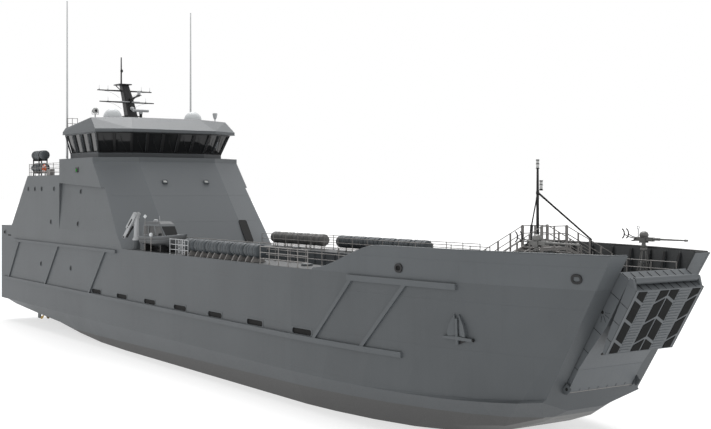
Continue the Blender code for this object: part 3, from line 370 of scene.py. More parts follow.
def seat(point, out, up=UP):
    """A place on a surface: z out of it, y as near up as it goes."""
    out = Vector(out).normalized()
    up = Vector(up) - out * out.dot(Vector(up))
    if up.length < 0.01:
        up = out.orthogonal()
    up.normalize()
    return Matrix.Translation(point) @ Matrix((up.cross(out), up, out)).transposed().to_4x4()


def circle(radius, sides, first=0.0):
    """Points round the middle."""
    angles = [first + 2 * math.pi * k / sides for k in range(sides)]
    return [(radius * math.cos(a), radius * math.sin(a)) for a in angles]


class Shape:
    """Gathers solids, in ship metres, and makes one piece of them."""

    def __init__(self, place=Matrix.Identity(4)):
        self.mesh = bmesh.new()
        self.place = place

    def box(self, low, high):
        low, high = Vector(low), Vector(high)
        put = self.place @ Matrix.Translation((low + high) / 2) @ Matrix.Diagonal((*(high - low), 1))
        bmesh.ops.create_cube(self.mesh, size=1.0, matrix=put)

    def bar(self, start, end, width, depth=None, up=UP):
        start, end = Vector(start), Vector(end)
        along = (end - start).normalized()
        side = along.cross(Vector(up))
        if side.length < 0.01:
            side = along.orthogonal()
        side.normalize()
        turn = Matrix((along, side, side.cross(along))).transposed().to_4x4()
        size = Matrix.Diagonal(((end - start).length, width, depth or width, 1))
        put = self.place @ Matrix.Translation((start + end) / 2) @ turn @ size
        bmesh.ops.create_cube(self.mesh, size=1.0, matrix=put)

    def rod(self, start, end, radius, end_radius=None, sides=12):
        start, end = Vector(start), Vector(end)
        put = self.place @ Matrix.Translation((start + end) / 2) @ turn_to(end - start)
        bmesh.ops.create_cone(self.mesh, cap_ends=True, segments=sides, radius1=radius,
                              radius2=radius if end_radius is None else end_radius,
                              depth=(end - start).length, matrix=put)

    def ball(self, centre, radius, sides=16, stretch=(1, 1, 1)):
        put = self.place @ Matrix.Translation(centre) @ Matrix.Diagonal((*stretch, 1))
        bmesh.ops.create_uvsphere(self.mesh, u_segments=sides, v_segments=sides // 2, radius=radius,
                                  matrix=put)

    def rings(self, loops, closed=False):
        """A skin through loops of equally many points."""
        made = [[self.mesh.verts.new(self.place @ Vector(point)) for point in loop] for loop in loops]
        for near, far in zip(made, made[1:] + made[:1] if closed else made[1:]):
            for i in range(len(near)):
                j = (i + 1) % len(near)
                self.mesh.faces.new((near[i], near[j], far[j], far[i]))
        if not closed:
            self.mesh.faces.new(made[0])
            self.mesh.faces.new(made[-1])

    def turned(self, start, along, profile, sides=20):
        """A turned shape: the profile gives places along its axis and the radius there."""
        put = Matrix.Translation(start) @ turn_to(along)
        self.rings([[put @ Vector((*point, t)) for point in circle(r, sides)] for t, r in profile])

    def post(self, foot, profile, sides=20):
        self.turned(foot, UP, profile, sides)

    def ring(self, centre, out, radius, thick, sides=20, thick_sides=8):
        """A round ring of round section."""
        put = Matrix.Translation(centre) @ turn_to(out)
        self.rings([[put @ Vector((x * (radius + u), y * (radius + u), v))
                     for u, v in circle(thick, thick_sides)] for x, y in circle(1, sides)], closed=True)

    def tube(self, points, radius, sides=8, closed=False):
        """A bent tube through points, with mitred corners."""
        points = [Vector(point) for point in points]
        count = len(points)
        side = None
        loops = []
        for i, point in enumerate(points):
            before = points[i - 1] if closed or i else point
            after = points[(i + 1) % count] if closed or i < count - 1 else point
            along = ((point - before).normalized() + (after - point).normalized()).normalized()
            side = along.orthogonal() if side is None else side - along * side.dot(along)
            side.normalize()
            loops.append([point + side * u + along.cross(side) * v for u, v in circle(radius, sides)])
        self.rings(loops, closed=closed)

    def slab(self, outline, low, high):
        """A flat outline in the place's own x and y, from low to high along its z."""
        self.rings([[(x, y, z) for x, y in outline] for z in (low, high)])

    def band(self, inner, outer, low, high):
        """A flat band between two outlines of equally many points, like a slab."""
        lines = ((outer, low), (outer, high), (inner, high), (inner, low))
        self.rings([[(x, y, z) for x, y in line] for line, z in lines], closed=True)

    def hull(self, points):
        """The convex solid round a few corners."""
        made = [self.mesh.verts.new(self.place @ Vector(point)) for point in points]
        result = bmesh.ops.convex_hull(self.mesh, input=made)
        bmesh.ops.delete(self.mesh, geom=result["geom_interior"], context="VERTS")

    def plate(self, near, far, corners):
        """The convex solid from one y to another whose side view has these corners, x and z."""
        self.hull([(x, y, z) for y in (near, far) for x, z in corners])

    def piece(self, name, look, stands_for=None, body="ship", bevel=0.0):
        self.mesh.transform(TO_FRAME)
        bmesh.ops.recalc_face_normals(self.mesh, faces=self.mesh.faces)
        mesh = bpy.data.meshes.new(name)
        self.mesh.to_mesh(mesh)
        self.mesh.free()
        mesh.materials.append(LOOKS[look].material)
        mesh.shade_smooth()
        mesh.set_sharp_from_angle(angle=math.radians(35))
        thing = add_object(name, mesh)
        if bevel:
            edge = thing.modifiers.new("edges", "BEVEL")
            edge.width = bevel * SCALE
            edge.segments = 2
            edge.limit_method = "ANGLE"
            edge.angle_limit = math.radians(40)
            edge.harden_normals = True
        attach(thing, body)
        if stands_for:
            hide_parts(stands_for)


def shapes(count, place=Matrix.Identity(4)):
    return [Shape(place) for k in range(count)]


def oval(width, height, radius, steps=5):
    """A rectangle with round corners, about its middle."""
    points = []
    for cx, cy, start in ((1, 1, 0), (-1, 1, 90), (-1, -1, 180), (1, -1, 270)):
        for k in range(steps + 1):
            a = math.radians(start + 90 * k / steps)
            points.append((cx * (width / 2 - radius) + radius * math.cos(a),
                           cy * (height / 2 - radius) + radius * math.sin(a)))
    return points


def skin(node):
    """A finder of places on a node's surface."""
    mesh = frame["nodes"][node].data
    places = [TO_SHIP @ vert.co for vert in mesh.vertices]
    return BVHTree.FromPolygons(places, [face.vertices[:] for face in mesh.polygons])


SKINS = {name: skin(name) for name in
         ("hull", "deckhouse", "bridge_parapet", "bulwark_starboard", "bulwark_port")}


def touch(node, start, along, up=UP):
    """The place where a line from outside meets a node, as a seat."""
    point, normal = SKINS[node].ray_cast(Vector(start), Vector(along).normalized())[:2]
    if point is None:
        raise ValueError(f"no surface of {node} at {start}")
    if normal.dot(Vector(along)) > 0:
        normal = -normal
    return seat(point, normal, up)


def on_side(node, x, z, side=-1):
    return touch(node, (x, side * 12, z), (0, -side, 0))


NODE_LOOKS = {"hull": "hull_side", "deckhouse": "house_paint", "bridge_parapet": "house_paint",
              "wheelhouse_walls": "wall_paint", "wheelhouse_roof": "roof_paint",
              "wheelhouse_windows": "window_glass", "bulwark_starboard": "bulwark_paint",
              "bulwark_port": "bulwark_paint", "bow_ramp": "ramp_paint", "ramp_flap": "ramp_paint",
              "ramp_hinge_pin": "dull_grey"}


def dress_frame():
    """The solids that stay get their finishes."""
    slots = {row["slot"] for row in frame["record"]["materials"]}
    for name, thing in frame["nodes"].items():
        own = thing.data.materials[0].name.split(".")[0] if thing.data.materials else "hull_paint"
        look = NODE_LOOKS.get(name) or (own if own in slots else "hull_paint")
        thing.data.materials.clear()
        thing.data.materials.append(LOOKS[look].material)


# The bow ramp and its folded flap, in the plane that they lie in when stowed:
# s up along it from the hinge, d outwards from the raked bow front

RAMP_HINGE_X = 70.54
RAMP_HINGE_Z = 3.095
BOW_RAKE = math.radians(31.67)
UP_RAMP = Vector((math.sin(BOW_RAKE), 0, math.cos(BOW_RAKE)))
OFF_RAMP = Vector((math.cos(BOW_RAKE), 0, -math.sin(BOW_RAKE)))
FLAP_FOOT = 2.85
FLAP_TOP = 6.29
FLAP_FACE = 1.173
FLAP_HALF = 2.20
FLAP_EDGE = ((2.85, 0.99), (3.95, 0.80), (6.10, 0.605))
RAMP_HALF = 2.14
RAMP_TOP = 6.425
RAMP_EDGE = ((0.30, 0.115), (1.19, 0.20), (2.25, 0.32), (3.26, 0.47), (3.95, 0.555), (6.20, 0.555))
RAMP_BACK = -0.20
BOSS_S = 4.32
BOSS_D = 0.03
APRON_FOOT = -0.13
APRON_FACE = 0.212
# Pad columns on the flap: inner and outer edge as shares of its width, and which way the ends slope
PAD_COLUMNS = ((0.045, 0.165, 1), (0.355, 0.480, -1), (0.505, 0.630, 1), (0.835, 0.955, -1))
RIB_COLUMNS = ((0.185, 0.325), (0.650, 0.805))
RIBS = 21
PAD_PITCH = 0.327
PAD_LENGTH = 0.282
PAD_FIRST = -0.180
PAD_SLOPE = 0.087
PAD_MARGIN = 0.018
RIM = 0.035


def ramp_place(s, d, y=0.0):
    return Vector((RAMP_HINGE_X, y, RAMP_HINGE_Z)) + UP_RAMP * s + OFF_RAMP * d


def edge_at(edge, s):
    """How far an outline stands off at a place along the ramp."""
    for (s0, d0), (s1, d1) in zip(edge, edge[1:]):
        if s <= s1:
            return d0 + (d1 - d0) * (s - s0) / (s1 - s0)
    return edge[-1][1]


def flap_face():
    """Anti-slip pads in chevrons, ribbed columns between them and a raised rim."""
    tall = FLAP_TOP - FLAP_FOOT
    wide = FLAP_HALF * 2
    pads, ribs = shapes(2, seat(ramp_place(FLAP_TOP, FLAP_FACE, -FLAP_HALF), OFF_RAMP, UP_RAMP))
    for left, right, slope in PAD_COLUMNS:
        near, far = (0.0, PAD_SLOPE) if slope > 0 else (PAD_SLOPE, 0.0)
        for k in range(4):
            first = PAD_FIRST + PAD_PITCH * k
            corners = ((left, near), (right, far), (right, far + PAD_LENGTH), (left, near + PAD_LENGTH))
            pads.slab([(u * wide, -tall * min(max(first + v, PAD_MARGIN), 1 - PAD_MARGIN))
                       for u, v in corners], -0.01, 0.022)
    pads.piece("flap_pads", "anti_slip", body="flap", bevel=0.006)
    for left, right in RIB_COLUMNS:
        for k in range(RIBS):
            y = -tall * (0.025 + 0.95 * (k + 0.5) / RIBS)
            ribs.hull([(u * wide, y + h, z) for u in (left, right)
                       for h, z in ((-0.040, -0.005), (0.040, -0.005), (-0.018, 0.032), (0.018, 0.032))])
    for x0, x1, y0, y1 in ((0, RIM, -tall, 0), (wide - RIM, wide, -tall, 0), (0, wide, -RIM, 0),
                           (0, wide, -tall, -tall + RIM)):
        ribs.box((x0, y0, -0.02), (x1, y1, 0.012))
    ribs.piece("flap_ribs", "ramp_paint", body="flap", bevel=0.005)


def ramp_trim():
    """Plate seams, the side arms' bosses, rollers and the hinge strip."""
    lines, flap_lines, top, rollers, apron, lip, ticks, lugs, holes = shapes(9)
    for side in (-1, 1):
        y = side * (RAMP_HALF + 0.004)
        for s in (1.19, 2.25, 3.42, 5.36):
            lines.bar(ramp_place(s, RAMP_BACK + 0.02, y), ramp_place(s, edge_at(RAMP_EDGE, s) - 0.01, y),
                      0.012, 0.022, up=UP_RAMP)
        boss = ramp_place(BOSS_S, BOSS_D, y)
        lines.rod(boss - Vector((0, side * 0.01, 0)), boss + Vector((0, side * 0.008, 0)), 0.075, sides=20)
        for turn in (-70, -35, 0, 30):
            a = math.radians(turn)
            way = OFF_RAMP * math.cos(a) + UP_RAMP * math.sin(a)
            lines.bar(boss + way * 0.16, boss + way * 0.46, 0.010, 0.014, up=UP_RAMP)
        y = side * (FLAP_HALF + 0.003)
        for s in (3.55, 4.45, 5.35):
            low, high = edge_at(FLAP_EDGE, s) + 0.015, FLAP_FACE - 0.02
            flap_lines.bar(ramp_place(s, low, y), ramp_place(s, high, y), 0.010, 0.020, up=UP_RAMP)
        y = side * 2.13
        rollers.hull([ramp_place(s, d, y + dy) for dy in (-0.05, 0.05) for s, d in
                      ((2.90, 0.99), (2.90, 1.08), (2.74, 0.95), (2.74, 1.02))])
        rollers.turned(ramp_place(2.74, 0.985, y - 0.065), (0, 1, 0),
                       ((0, 0.035), (0.01, 0.045), (0.12, 0.045), (0.13, 0.035)))
        # Square plates, standing on a corner, cover the pin's ends on the bow's face
        lugs.place = holes.place = seat(ramp_place(0.12, 0.23, side * 2.26), (0, side, 0), (1, 0, 1))
        lugs.slab(oval(0.40, 0.40, 0.06), 0.0, 0.05)
        holes.post((0, 0, 0.04), ((0, 0.080), (0.015, 0.080)))
    for k in range(1, 9):
        y = FLAP_HALF * (k / 4.5 - 1)
        s = FLAP_TOP + 0.002
        flap_lines.bar(ramp_place(s, 0.70, y), ramp_place(s, FLAP_FACE - 0.04, y), 0.020, 0.014)
    for k in range(9):
        y = RAMP_HALF * (k / 4 - 1) * 0.98
        top.bar(ramp_place(RAMP_TOP, 0.02, y), ramp_place(RAMP_TOP, 0.44, y), 0.020, 0.014)
    # A flat apron over the ramp's root, with a thin lip along its foot and short ticks above the lip
    half = RAMP_HALF - 0.02
    apron.hull([ramp_place(s, d, y) for y in (-half, half) for s, d in
                ((1.19, 0.15), (1.19, 0.206), (APRON_FOOT, APRON_FACE), (APRON_FOOT, 0.09))])
    lip.tube([ramp_place(APRON_FOOT, APRON_FACE, y) for y in (-half, half)], 0.020)
    for k in range(6):
        ends = [ramp_place(APRON_FOOT + s, APRON_FACE + 0.006, -1.39 + 0.60 * k) for s in (0.05, 0.17)]
        ticks.bar(*ends, 0.050, 0.016, up=OFF_RAMP)
    lines.piece("ramp_seams", "shadow", body="ramp")
    flap_lines.piece("flap_seams", "shadow", body="flap")
    rollers.piece("flap_rollers", "black_paint", body="flap", bevel=0.006)
    top.piece("ramp_top_seams", "shadow", body="ramp")
    apron.piece("ramp_apron", "ramp_paint", body="ramp")
    lip.piece("ramp_foot_lip", "rail_paint", body="ramp")
    ticks.piece("ramp_foot_ticks", "dull_grey", body="ramp")
    lugs.piece("ramp_hinge_lugs", "dull_grey", bevel=0.012)
    holes.piece("ramp_hinge_holes", "shadow")


# Wheelhouse

# Plan at the sill, at the window heads and under the roof's fascia, one half: x and half-breadth
SILL_PLAN = ((15.90, 5.45), (22.11, 5.45), (23.41, 3.20))
HEAD_PLAN = ((15.94, 5.95), (22.80, 5.95), (24.13, 3.47))
FASCIA_PLAN = ((16.02, 6.16), (23.22, 6.16), (24.62, 3.63))
# Starboard side, chamfer, front, chamfer, port side, aft: how many panes, and whether the wall is blackened
WALLS = ((4, False), (2, True), (5, True), (2, True), (4, False), (4, False))
PANE_MARGIN = 0.09
PANE_FOOT_Z = SILL_Z + 0.10
PANE_HEAD_Z = HEAD_Z - 0.06
CONSOLE = ((22.0, 0.0), (22.9, 0.0), (21.9, 0.95), (22.9, 1.20))
WING_CONSOLE = ((20.6, 0.0), (21.4, 0.0), (20.6, 1.0), (21.4, 1.15))
CHAIR_BACK = ((20.22, 0.55), (20.36, 0.55), (20.05, 1.45), (20.17, 1.45))


def whole_plan(half):
    return [(x, -b) for x, b in half] + [(x, b) for x, b in reversed(half)]


def wall_frame(i):
    """A wheelhouse wall: its lower and upper ends, and the way out of it."""
    j = (i + 1) % 6
    lower = [Vector((*whole_plan(SILL_PLAN)[k], SILL_Z)) for k in (i, j)]
    upper = [Vector((*whole_plan(HEAD_PLAN)[k], HEAD_Z)) for k in (i, j)]
    out = (lower[1] - lower[0]).cross(upper[0] - lower[0]).normalized()
    return lower, upper, out


def on_wall(i, share, height, lift):
    """A place off a wall: a share of its length, at a height."""
    lower, upper, out = wall_frame(i)
    t = (height - SILL_Z) / (HEAD_Z - SILL_Z)
    return lower[0].lerp(lower[1], share).lerp(upper[0].lerp(upper[1], share), t) + out * lift


def wheelhouse_trim():
    gaskets, black, wipers, strip, sill = shapes(5)
    for i, (count, blackened) in enumerate(WALLS):
        lower, upper, out = wall_frame(i)
        margin = PANE_MARGIN / (lower[1] - lower[0]).length
        blade = (upper[0] - lower[0]).normalized() * (PANE_HEAD_Z - PANE_FOOT_Z) * 0.22
        strips = []
        for k in range(count):
            near, far = k / count + margin, (k + 1) / count - margin
            corners = [on_wall(i, share, z, 0.008) for share, z in
                       ((near, PANE_FOOT_Z), (far, PANE_FOOT_Z), (far, PANE_HEAD_Z), (near, PANE_HEAD_Z))]
            for a, b in zip(corners, corners[1:] + corners[:1]):
                gaskets.bar(a, b, 0.030, 0.040, up=out)
            if blackened:
                middle = (near + far) / 2
                foot = on_wall(i, middle + 0.25 / count, PANE_FOOT_Z - 0.02, 0.05)
                tip = on_wall(i, middle - 0.12 / count, PANE_FOOT_Z + 0.95, 0.02)
                wipers.bar(foot, tip, 0.022, 0.014, up=out)
                wipers.bar(tip - blade, tip + blade, 0.018, 0.02, up=out)
                wipers.rod(foot - out * 0.05, foot + out * 0.03, 0.035, sides=10)
        if blackened:
            for k in range(count + 1):
                wide = margin * (0.95 if 0 < k < count else 1.0)
                near, far = max(k / count - wide, 0.0), min(k / count + wide, 1.0)
                strips.append((near, far, SILL_Z + 0.02, HEAD_Z - 0.004))
            strips += [(0.0, 1.0, SILL_Z + 0.01, PANE_FOOT_Z), (0.0, 1.0, PANE_HEAD_Z, HEAD_Z - 0.003)]
        for near, far, low, high in strips:
            black.hull([on_wall(i, share, z, lift) for share in (near, far) for z in (low, high)
                        for lift in (-0.01, 0.012)])
    gaskets.piece("window_gaskets", "black_paint")
    black.piece("window_pillars", "black_paint")
    wipers.piece("window_wipers", "black_paint")
    # Rounded drip strip under the roof's fascia, and the sill moulding
    for lift, radius in ((0.03, 0.030), (0.235, 0.016)):
        strip.tube([(x, y, HEAD_Z + lift) for x, y in whole_plan(FASCIA_PLAN)], radius, closed=True)
    strip.piece("roof_drip_strip", "hull_paint")
    sill.tube([(x, y, SILL_Z + 0.01) for x, y in whole_plan(SILL_PLAN)], 0.022, closed=True)
    sill.piece("sill_moulding", "hull_paint")


def wheelhouse_inside():
    """Consoles and chairs that show dimly through the panes."""
    desk = Shape(Matrix.Translation((0, 0, WING_DECK_Z + 0.03)))
    desk.plate(-2.6, 2.6, CONSOLE)
    for y in (-4.4, 4.4):
        desk.plate(y - 0.35, y + 0.35, WING_CONSOLE)
    for y in (-1.1, 1.1):
        desk.rod((20.6, y, 0), (20.6, y, 0.45), 0.06)
        desk.box((20.3, y - 0.27, 0.45), (20.9, y + 0.27, 0.60))
        desk.plate(y - 0.25, y + 0.25, CHAIR_BACK)
    desk.piece("bridge_consoles", "black_paint", bevel=0.03)


# Masts and fittings on the roof

# The trunk's sections from its foot up: x, z, half its length and half its breadth
TRUNK = ((16.35, 17.49, 0.54, 0.50), (15.15, 19.9, 0.44, 0.40), (14.25, 21.4, 0.38, 0.32))
TRUNK_CUT = 0.10
YARDS = ((14.45, 20.82), (14.95, 19.80))
YARD_HALF = 2.52
MAST_HEAD_X = 14.0
MAST_HEAD_Z = 21.36
TOPMAST_X = 13.66
RADAR_X = 17.9
RADAR_TURN_Z = 18.62
MAST_LAMP = ((0, 0.14), (0.05, 0.16), (0.10, 0.13), (0.30, 0.13), (0.34, 0.16), (0.38, 0.10))
MAST_HORN = ((0, 0.10), (0.10, 0.17), (0.26, 0.17), (0.30, 0.08))
SCANNER_ENDS = ((-0.70, 0.75), (-0.67, 1.0), (0.67, 1.0), (0.70, 0.75))


def roof_z(x):
    return 17.30 + 0.62 * (x - 16.10) / 5.77


def trunk_at(z):
    """The trunk's middle, half length and half breadth at a height."""
    for (x0, z0, a0, w0), (x1, z1, a1, w1) in zip(TRUNK, TRUNK[1:]):
        if z <= z1:
            t = (z - z0) / (z1 - z0)
            return x0 + (x1 - x0) * t, a0 + (a1 - a0) * t, w0 + (w1 - w0) * t
    return TRUNK[-1][0], TRUNK[-1][2], TRUNK[-1][3]


def main_mast():
    mast, pale, scanner = shapes(3)
    loops = []
    for x, z, a, w in TRUNK:
        z = max(z, roof_z(TRUNK[0][0]) + 0.02)
        b, v = a - TRUNK_CUT, w - TRUNK_CUT
        plan = ((a, -v), (a, v), (b, w), (-b, w), (-a, v), (-a, -v), (-b, -w), (b, -w))
        loops.append([(x + dx, y, z) for dx, y in plan])
    mast.rings(loops)
    mast.plate(-0.62, 0.62, [(x, roof_z(x) + h) for x in (15.55, 18.30) for h in (0.01, 0.14)])
    mast.slab([(MAST_HEAD_X + x, y) for x, y in oval(1.50, 1.20, 0.15)], MAST_HEAD_Z, MAST_HEAD_Z + 0.08)
    mast.rod((TOPMAST_X, 0, MAST_HEAD_Z), (TOPMAST_X, 0, 23.85), 0.075, 0.050)
    mast.post((TOPMAST_X + 0.10, 0, 22.50), ((0, 0.05), (0.08, 0.12), (0.22, 0.12), (0.30, 0.05)))
    for x, z in YARDS:
        mast.rod((x, -YARD_HALF, z), (x, 0, z), 0.045, 0.075, 10)
        mast.rod((x, 0, z), (x, YARD_HALF, z), 0.075, 0.045, 10)
    mast.bar((15.1, 0, 20.00), (17.55, 0, 20.20), 0.18, 0.10)
    mast.plate(-0.03, 0.03, ((15.35, 19.6), (15.20, 20.0), (16.9, 20.12)))
    mast.plate(-0.18, 0.18, [(17.5 + x, z) for x in (-0.18, 0.18) for z in (20.20, 20.25)])
    tall = RADAR_TURN_Z - roof_z(RADAR_X)
    mast.post((RADAR_X, 0, roof_z(RADAR_X) + 0.01),
              ((0, 0.30), (0.05, 0.30), (0.06, 0.15), (tall - 0.06, 0.12), (tall - 0.01, 0.15)))
    for k in range(12):
        z = 17.9 + k * 0.27
        x, a, w = trunk_at(z)
        aft, far = x - a + 0.02, x - a - 0.12
        mast.tube([(aft, -0.20, z), (far, -0.20, z), (far, 0.20, z), (aft, 0.20, z)], 0.018, 6)
    for side in (-1, 1):
        mast.bar((14.05, side * 0.26, 20.95), (13.42, side * 0.416, MAST_HEAD_Z), 0.06)
        x, a, w = trunk_at(18.6)
        mast.hull([(x + dx, side * (w + dy), z) for dx in (-0.35, 0.35) for dy, z in
                   ((-0.02, 18.45), (0.30, 18.50), (-0.02, 18.58), (0.30, 18.55))])
        for x, z in YARDS:
            pale.tube([(x, side * (0.5 + 1.5 * t), z - 0.04 - 0.55 * (1 - t) ** 2)
                       for t in (0, 0.25, 0.5, 0.75, 1.0)], 0.010, 5)
        for (x, z), reach in ((YARDS[0], 2.35), (YARDS[0], 1.55), (YARDS[1], 1.75)):
            y = side * reach
            pale.rod((x, y, z), (x, y, z + 0.42), 0.020, 0.010, 6)
            pale.post((x, y, z + 0.02), ((0, 0.045), (0.10, 0.045), (0.12, 0.02)), 8)
    mast.piece("main_mast_detail", "black_paint", "main_mast", bevel=0.008)

    pale.post((17.5, 0, 20.25), MAST_LAMP)
    x, a, w = trunk_at(19.1)
    fore = x + a
    pale.turned((fore - 0.02, 0, 19.05), (0.55, 0, 0.84), MAST_HORN)
    pale.tube([(fore + dx, -0.25, z) for dx, z in ((0.02, 18.95), (0.10, 18.2), (0.38, 17.75))], 0.022, 6)
    x, a, w = trunk_at(19.80)
    pale.box((x + a - 0.03, -YARD_HALF * 0.35, 19.755), (x + a + 0.03, YARD_HALF * 0.35, 19.845))
    pale.piece("mast_lamps", "light_grey")

    z = RADAR_TURN_Z + LIFT
    scanner.post((RADAR_X, 0, z), ((0, 0.15), (0.02, 0.165), (0.14, 0.165), (0.18, 0.10)))
    scanner.rings([[(RADAR_X + x * w, y, z + 0.275 + h * w) for x, h in oval(0.30, 0.22, 0.10, 4)]
                   for y, w in SCANNER_ENDS])
    scanner.piece("radar_scanner_detail", "light_grey", "radar_scanner", body="radar")


CATWALK_X = 66.95
CATWALK_Z = 9.35
CATWALK_HALF = 0.72
CATWALK_FLAT_B = 0.84
CATWALK_FOOT_B = 4.70
CATWALK_LAST_B = 4.04
CATWALK_AFT = CATWALK_X - CATWALK_HALF
CATWALK_FORE = CATWALK_X + CATWALK_HALF
GRATING_BARS = 27
STAIR_STEPS = 9
FORE_MAST_X = 66.46
FORK_Z = 12.03
STRUT_Y = 3.75
STRUT_Z = 9.60


def lantern(shape, glass, x, low, high):
    """A two-tier mast lantern: dark frames with glass drums between them."""
    tall = high - low
    for t in (0.0, 0.47, 0.90):
        shape.post((x, 0, low + tall * t), ((0, 0.065), (0.01, 0.090), (0.045, 0.090), (0.06, 0.060)), 16)
    for t in (0.07, 0.55):
        glass.post((x, 0, low + tall * t),
                   ((0, 0.065), (0.03, 0.075), (tall * 0.33, 0.075), (tall * 0.36, 0.065)), 16)


def fore_mast():
    x = FORE_MAST_X
    mast, glass = shapes(2)
    mast.post((x, 0, CATWALK_Z + LIFT),
              ((0, 0.13), (0.03, 0.13), (0.035, 0.08), (2.4, 0.07), (3.86, 0.055)), 16)
    mast.tube([(x, 0, FORK_Z), (x, STRUT_Y, STRUT_Z), (x, STRUT_Y, walk_z(STRUT_Y) - 0.02)], 0.052, 12)
    mast.rod((x, -0.02, FORK_Z - 0.1), (x, -0.42, 10.35), 0.035, sides=8)
    mast.rod((x, -0.40, 10.42), (x, -0.50, CATWALK_Z), 0.075, 0.085)
    mast.post((x, 0, FORK_Z - 0.10), ((0, 0.072), (0.02, 0.085), (0.14, 0.085), (0.16, 0.072)), 16)
    mast.bar((x, 0, 12.14), (x + 0.32, 0, 12.14), 0.10, 0.03)
    lantern(mast, glass, x, 13.20, 13.66)
    lantern(mast, glass, x + 0.25, 12.15, 12.62)
    mast.piece("fore_mast_detail", "black_paint", "fore_mast")
    glass.piece("fore_mast_lamps", "lamp_glass")


def walk_z(y):
    t = min(max((abs(y) - CATWALK_FLAT_B) / (CATWALK_LAST_B - CATWALK_FLAT_B), 0), 1)
    return CATWALK_Z + (DECK_Z + 0.1 - CATWALK_Z) * t


def catwalk():
    walk, rail = shapes(2)
    low = DECK_Z + LIFT
    flat = CATWALK_FLAT_B
    stringer = ((flat, CATWALK_Z), (flat, CATWALK_Z - 0.16), (CATWALK_FOOT_B, low),
                (CATWALK_FOOT_B - 0.24, low))
    for x in (CATWALK_AFT, CATWALK_FORE - 0.05):
        walk.box((x, -flat, CATWALK_Z - 0.16), (x + 0.05, flat, CATWALK_Z))
        for side in (-1, 1):
            walk.hull([(x + dx, side * y, z) for dx in (0, 0.05) for y, z in stringer])
    # Bar grating on the flat, treads on the stairs
    for k in range(GRATING_BARS):
        y = flat * (2 * k / (GRATING_BARS - 1) - 1) * 0.985
        walk.box((CATWALK_AFT, y - 0.012, CATWALK_Z - 0.05), (CATWALK_FORE, y + 0.012, CATWALK_Z - 0.012))
    for k in range(7):
        x = CATWALK_AFT + 0.10 + k * 0.12
        walk.box((x, -flat, CATWALK_Z - 0.045), (x + 0.012, flat, CATWALK_Z - 0.006))
    for side in (-1, 1):
        for k in range(1, STAIR_STEPS + 1):
            t = k / (STAIR_STEPS + 1)
            edge = flat + (CATWALK_FOOT_B - flat) * t - 0.05
            y0, y1 = sorted((side * edge, side * (edge - 0.22)))
            z = CATWALK_Z + (low - CATWALK_Z) * t
            walk.box((CATWALK_AFT + 0.04, y0, z - 0.035), (CATWALK_FORE - 0.04, y1, z))
    spots = [side * (flat + 0.80 * k) for side in (-1, 1) for k in range(1, 5)]
    bends = (-CATWALK_LAST_B, -flat, flat, CATWALK_LAST_B)
    for x in (CATWALK_AFT + 0.04, CATWALK_FORE - 0.04):
        for rise in (0.33, 0.66, 1.03):
            rail.tube([(x, y, walk_z(y) + rise) for y in bends], 0.024)
        for y in spots:
            foot = max(walk_z(y) - 0.05, low + 0.02)
            rail.bar((x, y, foot), (x, y, walk_z(y) + 1.04), 0.05, 0.09, up=(0, 1, 0))
        rail.bar((x, 0, CATWALK_Z - 0.10), (x, 0, CATWALK_Z + 1.04), 0.05, 0.09, up=(0, 1, 0))
    rail.piece("catwalk_rails", "rail_paint", bevel=0.008)
    # Broad posts with rounded heads at the corners of the flat
    for x in (CATWALK_AFT + 0.01, CATWALK_FORE - 0.07):
        for y in (-flat, flat):
            walk.box((x, y - 0.08, CATWALK_Z - 0.30), (x + 0.06, y + 0.08, CATWALK_Z + 1.00))
            walk.rod((x, y, CATWALK_Z + 1.00), (x + 0.06, y, CATWALK_Z + 1.00), 0.08, sides=16)
    walk.piece("catwalk_detail", "rail_paint", "catwalk", bevel=0.004)


# Rails: node, x and y at each end, deck height and bays

RAIL_RUNS = (
    ("raft_deck_rails_aft", 7.75, -6.10, 7.75, 6.10, RAFT_DECK_Z, 8),
    ("raft_deck_rails_starboard", 7.75, -6.25, 15.55, -6.25, RAFT_DECK_Z, 5),
    ("raft_deck_rails_port", 7.75, 6.25, 15.55, 6.25, RAFT_DECK_Z, 5),
    ("casing_rails_starboard", 31.6, -4.06, 58.2, -4.06, DECK_Z, 15),
    ("forecastle_rails_starboard", 67.2, -2.30, 73.2, -2.30, DECK_Z, 4),
    ("casing_rails_port", 31.6, 4.06, 58.2, 4.06, DECK_Z, 15),
    ("forecastle_rails_port", 67.2, 2.30, 73.2, 2.30, DECK_Z, 4),
    ("edge_rails_starboard", 49.5, -6.22, 54.8, -6.22, DECK_Z, 5),
    ("edge_rails_port", 31.8, 6.22, 54.8, 6.22, DECK_Z, 14),
)
GATE_Y = -6.20


def guardrail(shape, start, end, bays, heights=(0.35, 0.70, 1.05), radius=0.022):
    start, end = Vector(start), Vector(end)
    for height in heights:
        lift = UP * (height - radius)
        shape.rod(start + lift, end + lift, radius, sides=8)
    for i in range(bays + 1):
        foot = start.lerp(end, i / bays)
        shape.rod(foot, foot + UP * heights[-1], 0.028, sides=8)
        shape.post(foot, ((0.0, 0.07), (0.02, 0.07), (0.03, 0.04)), 8)
        shape.ball(foot + UP * (heights[-1] - 0.01), 0.032, 8)


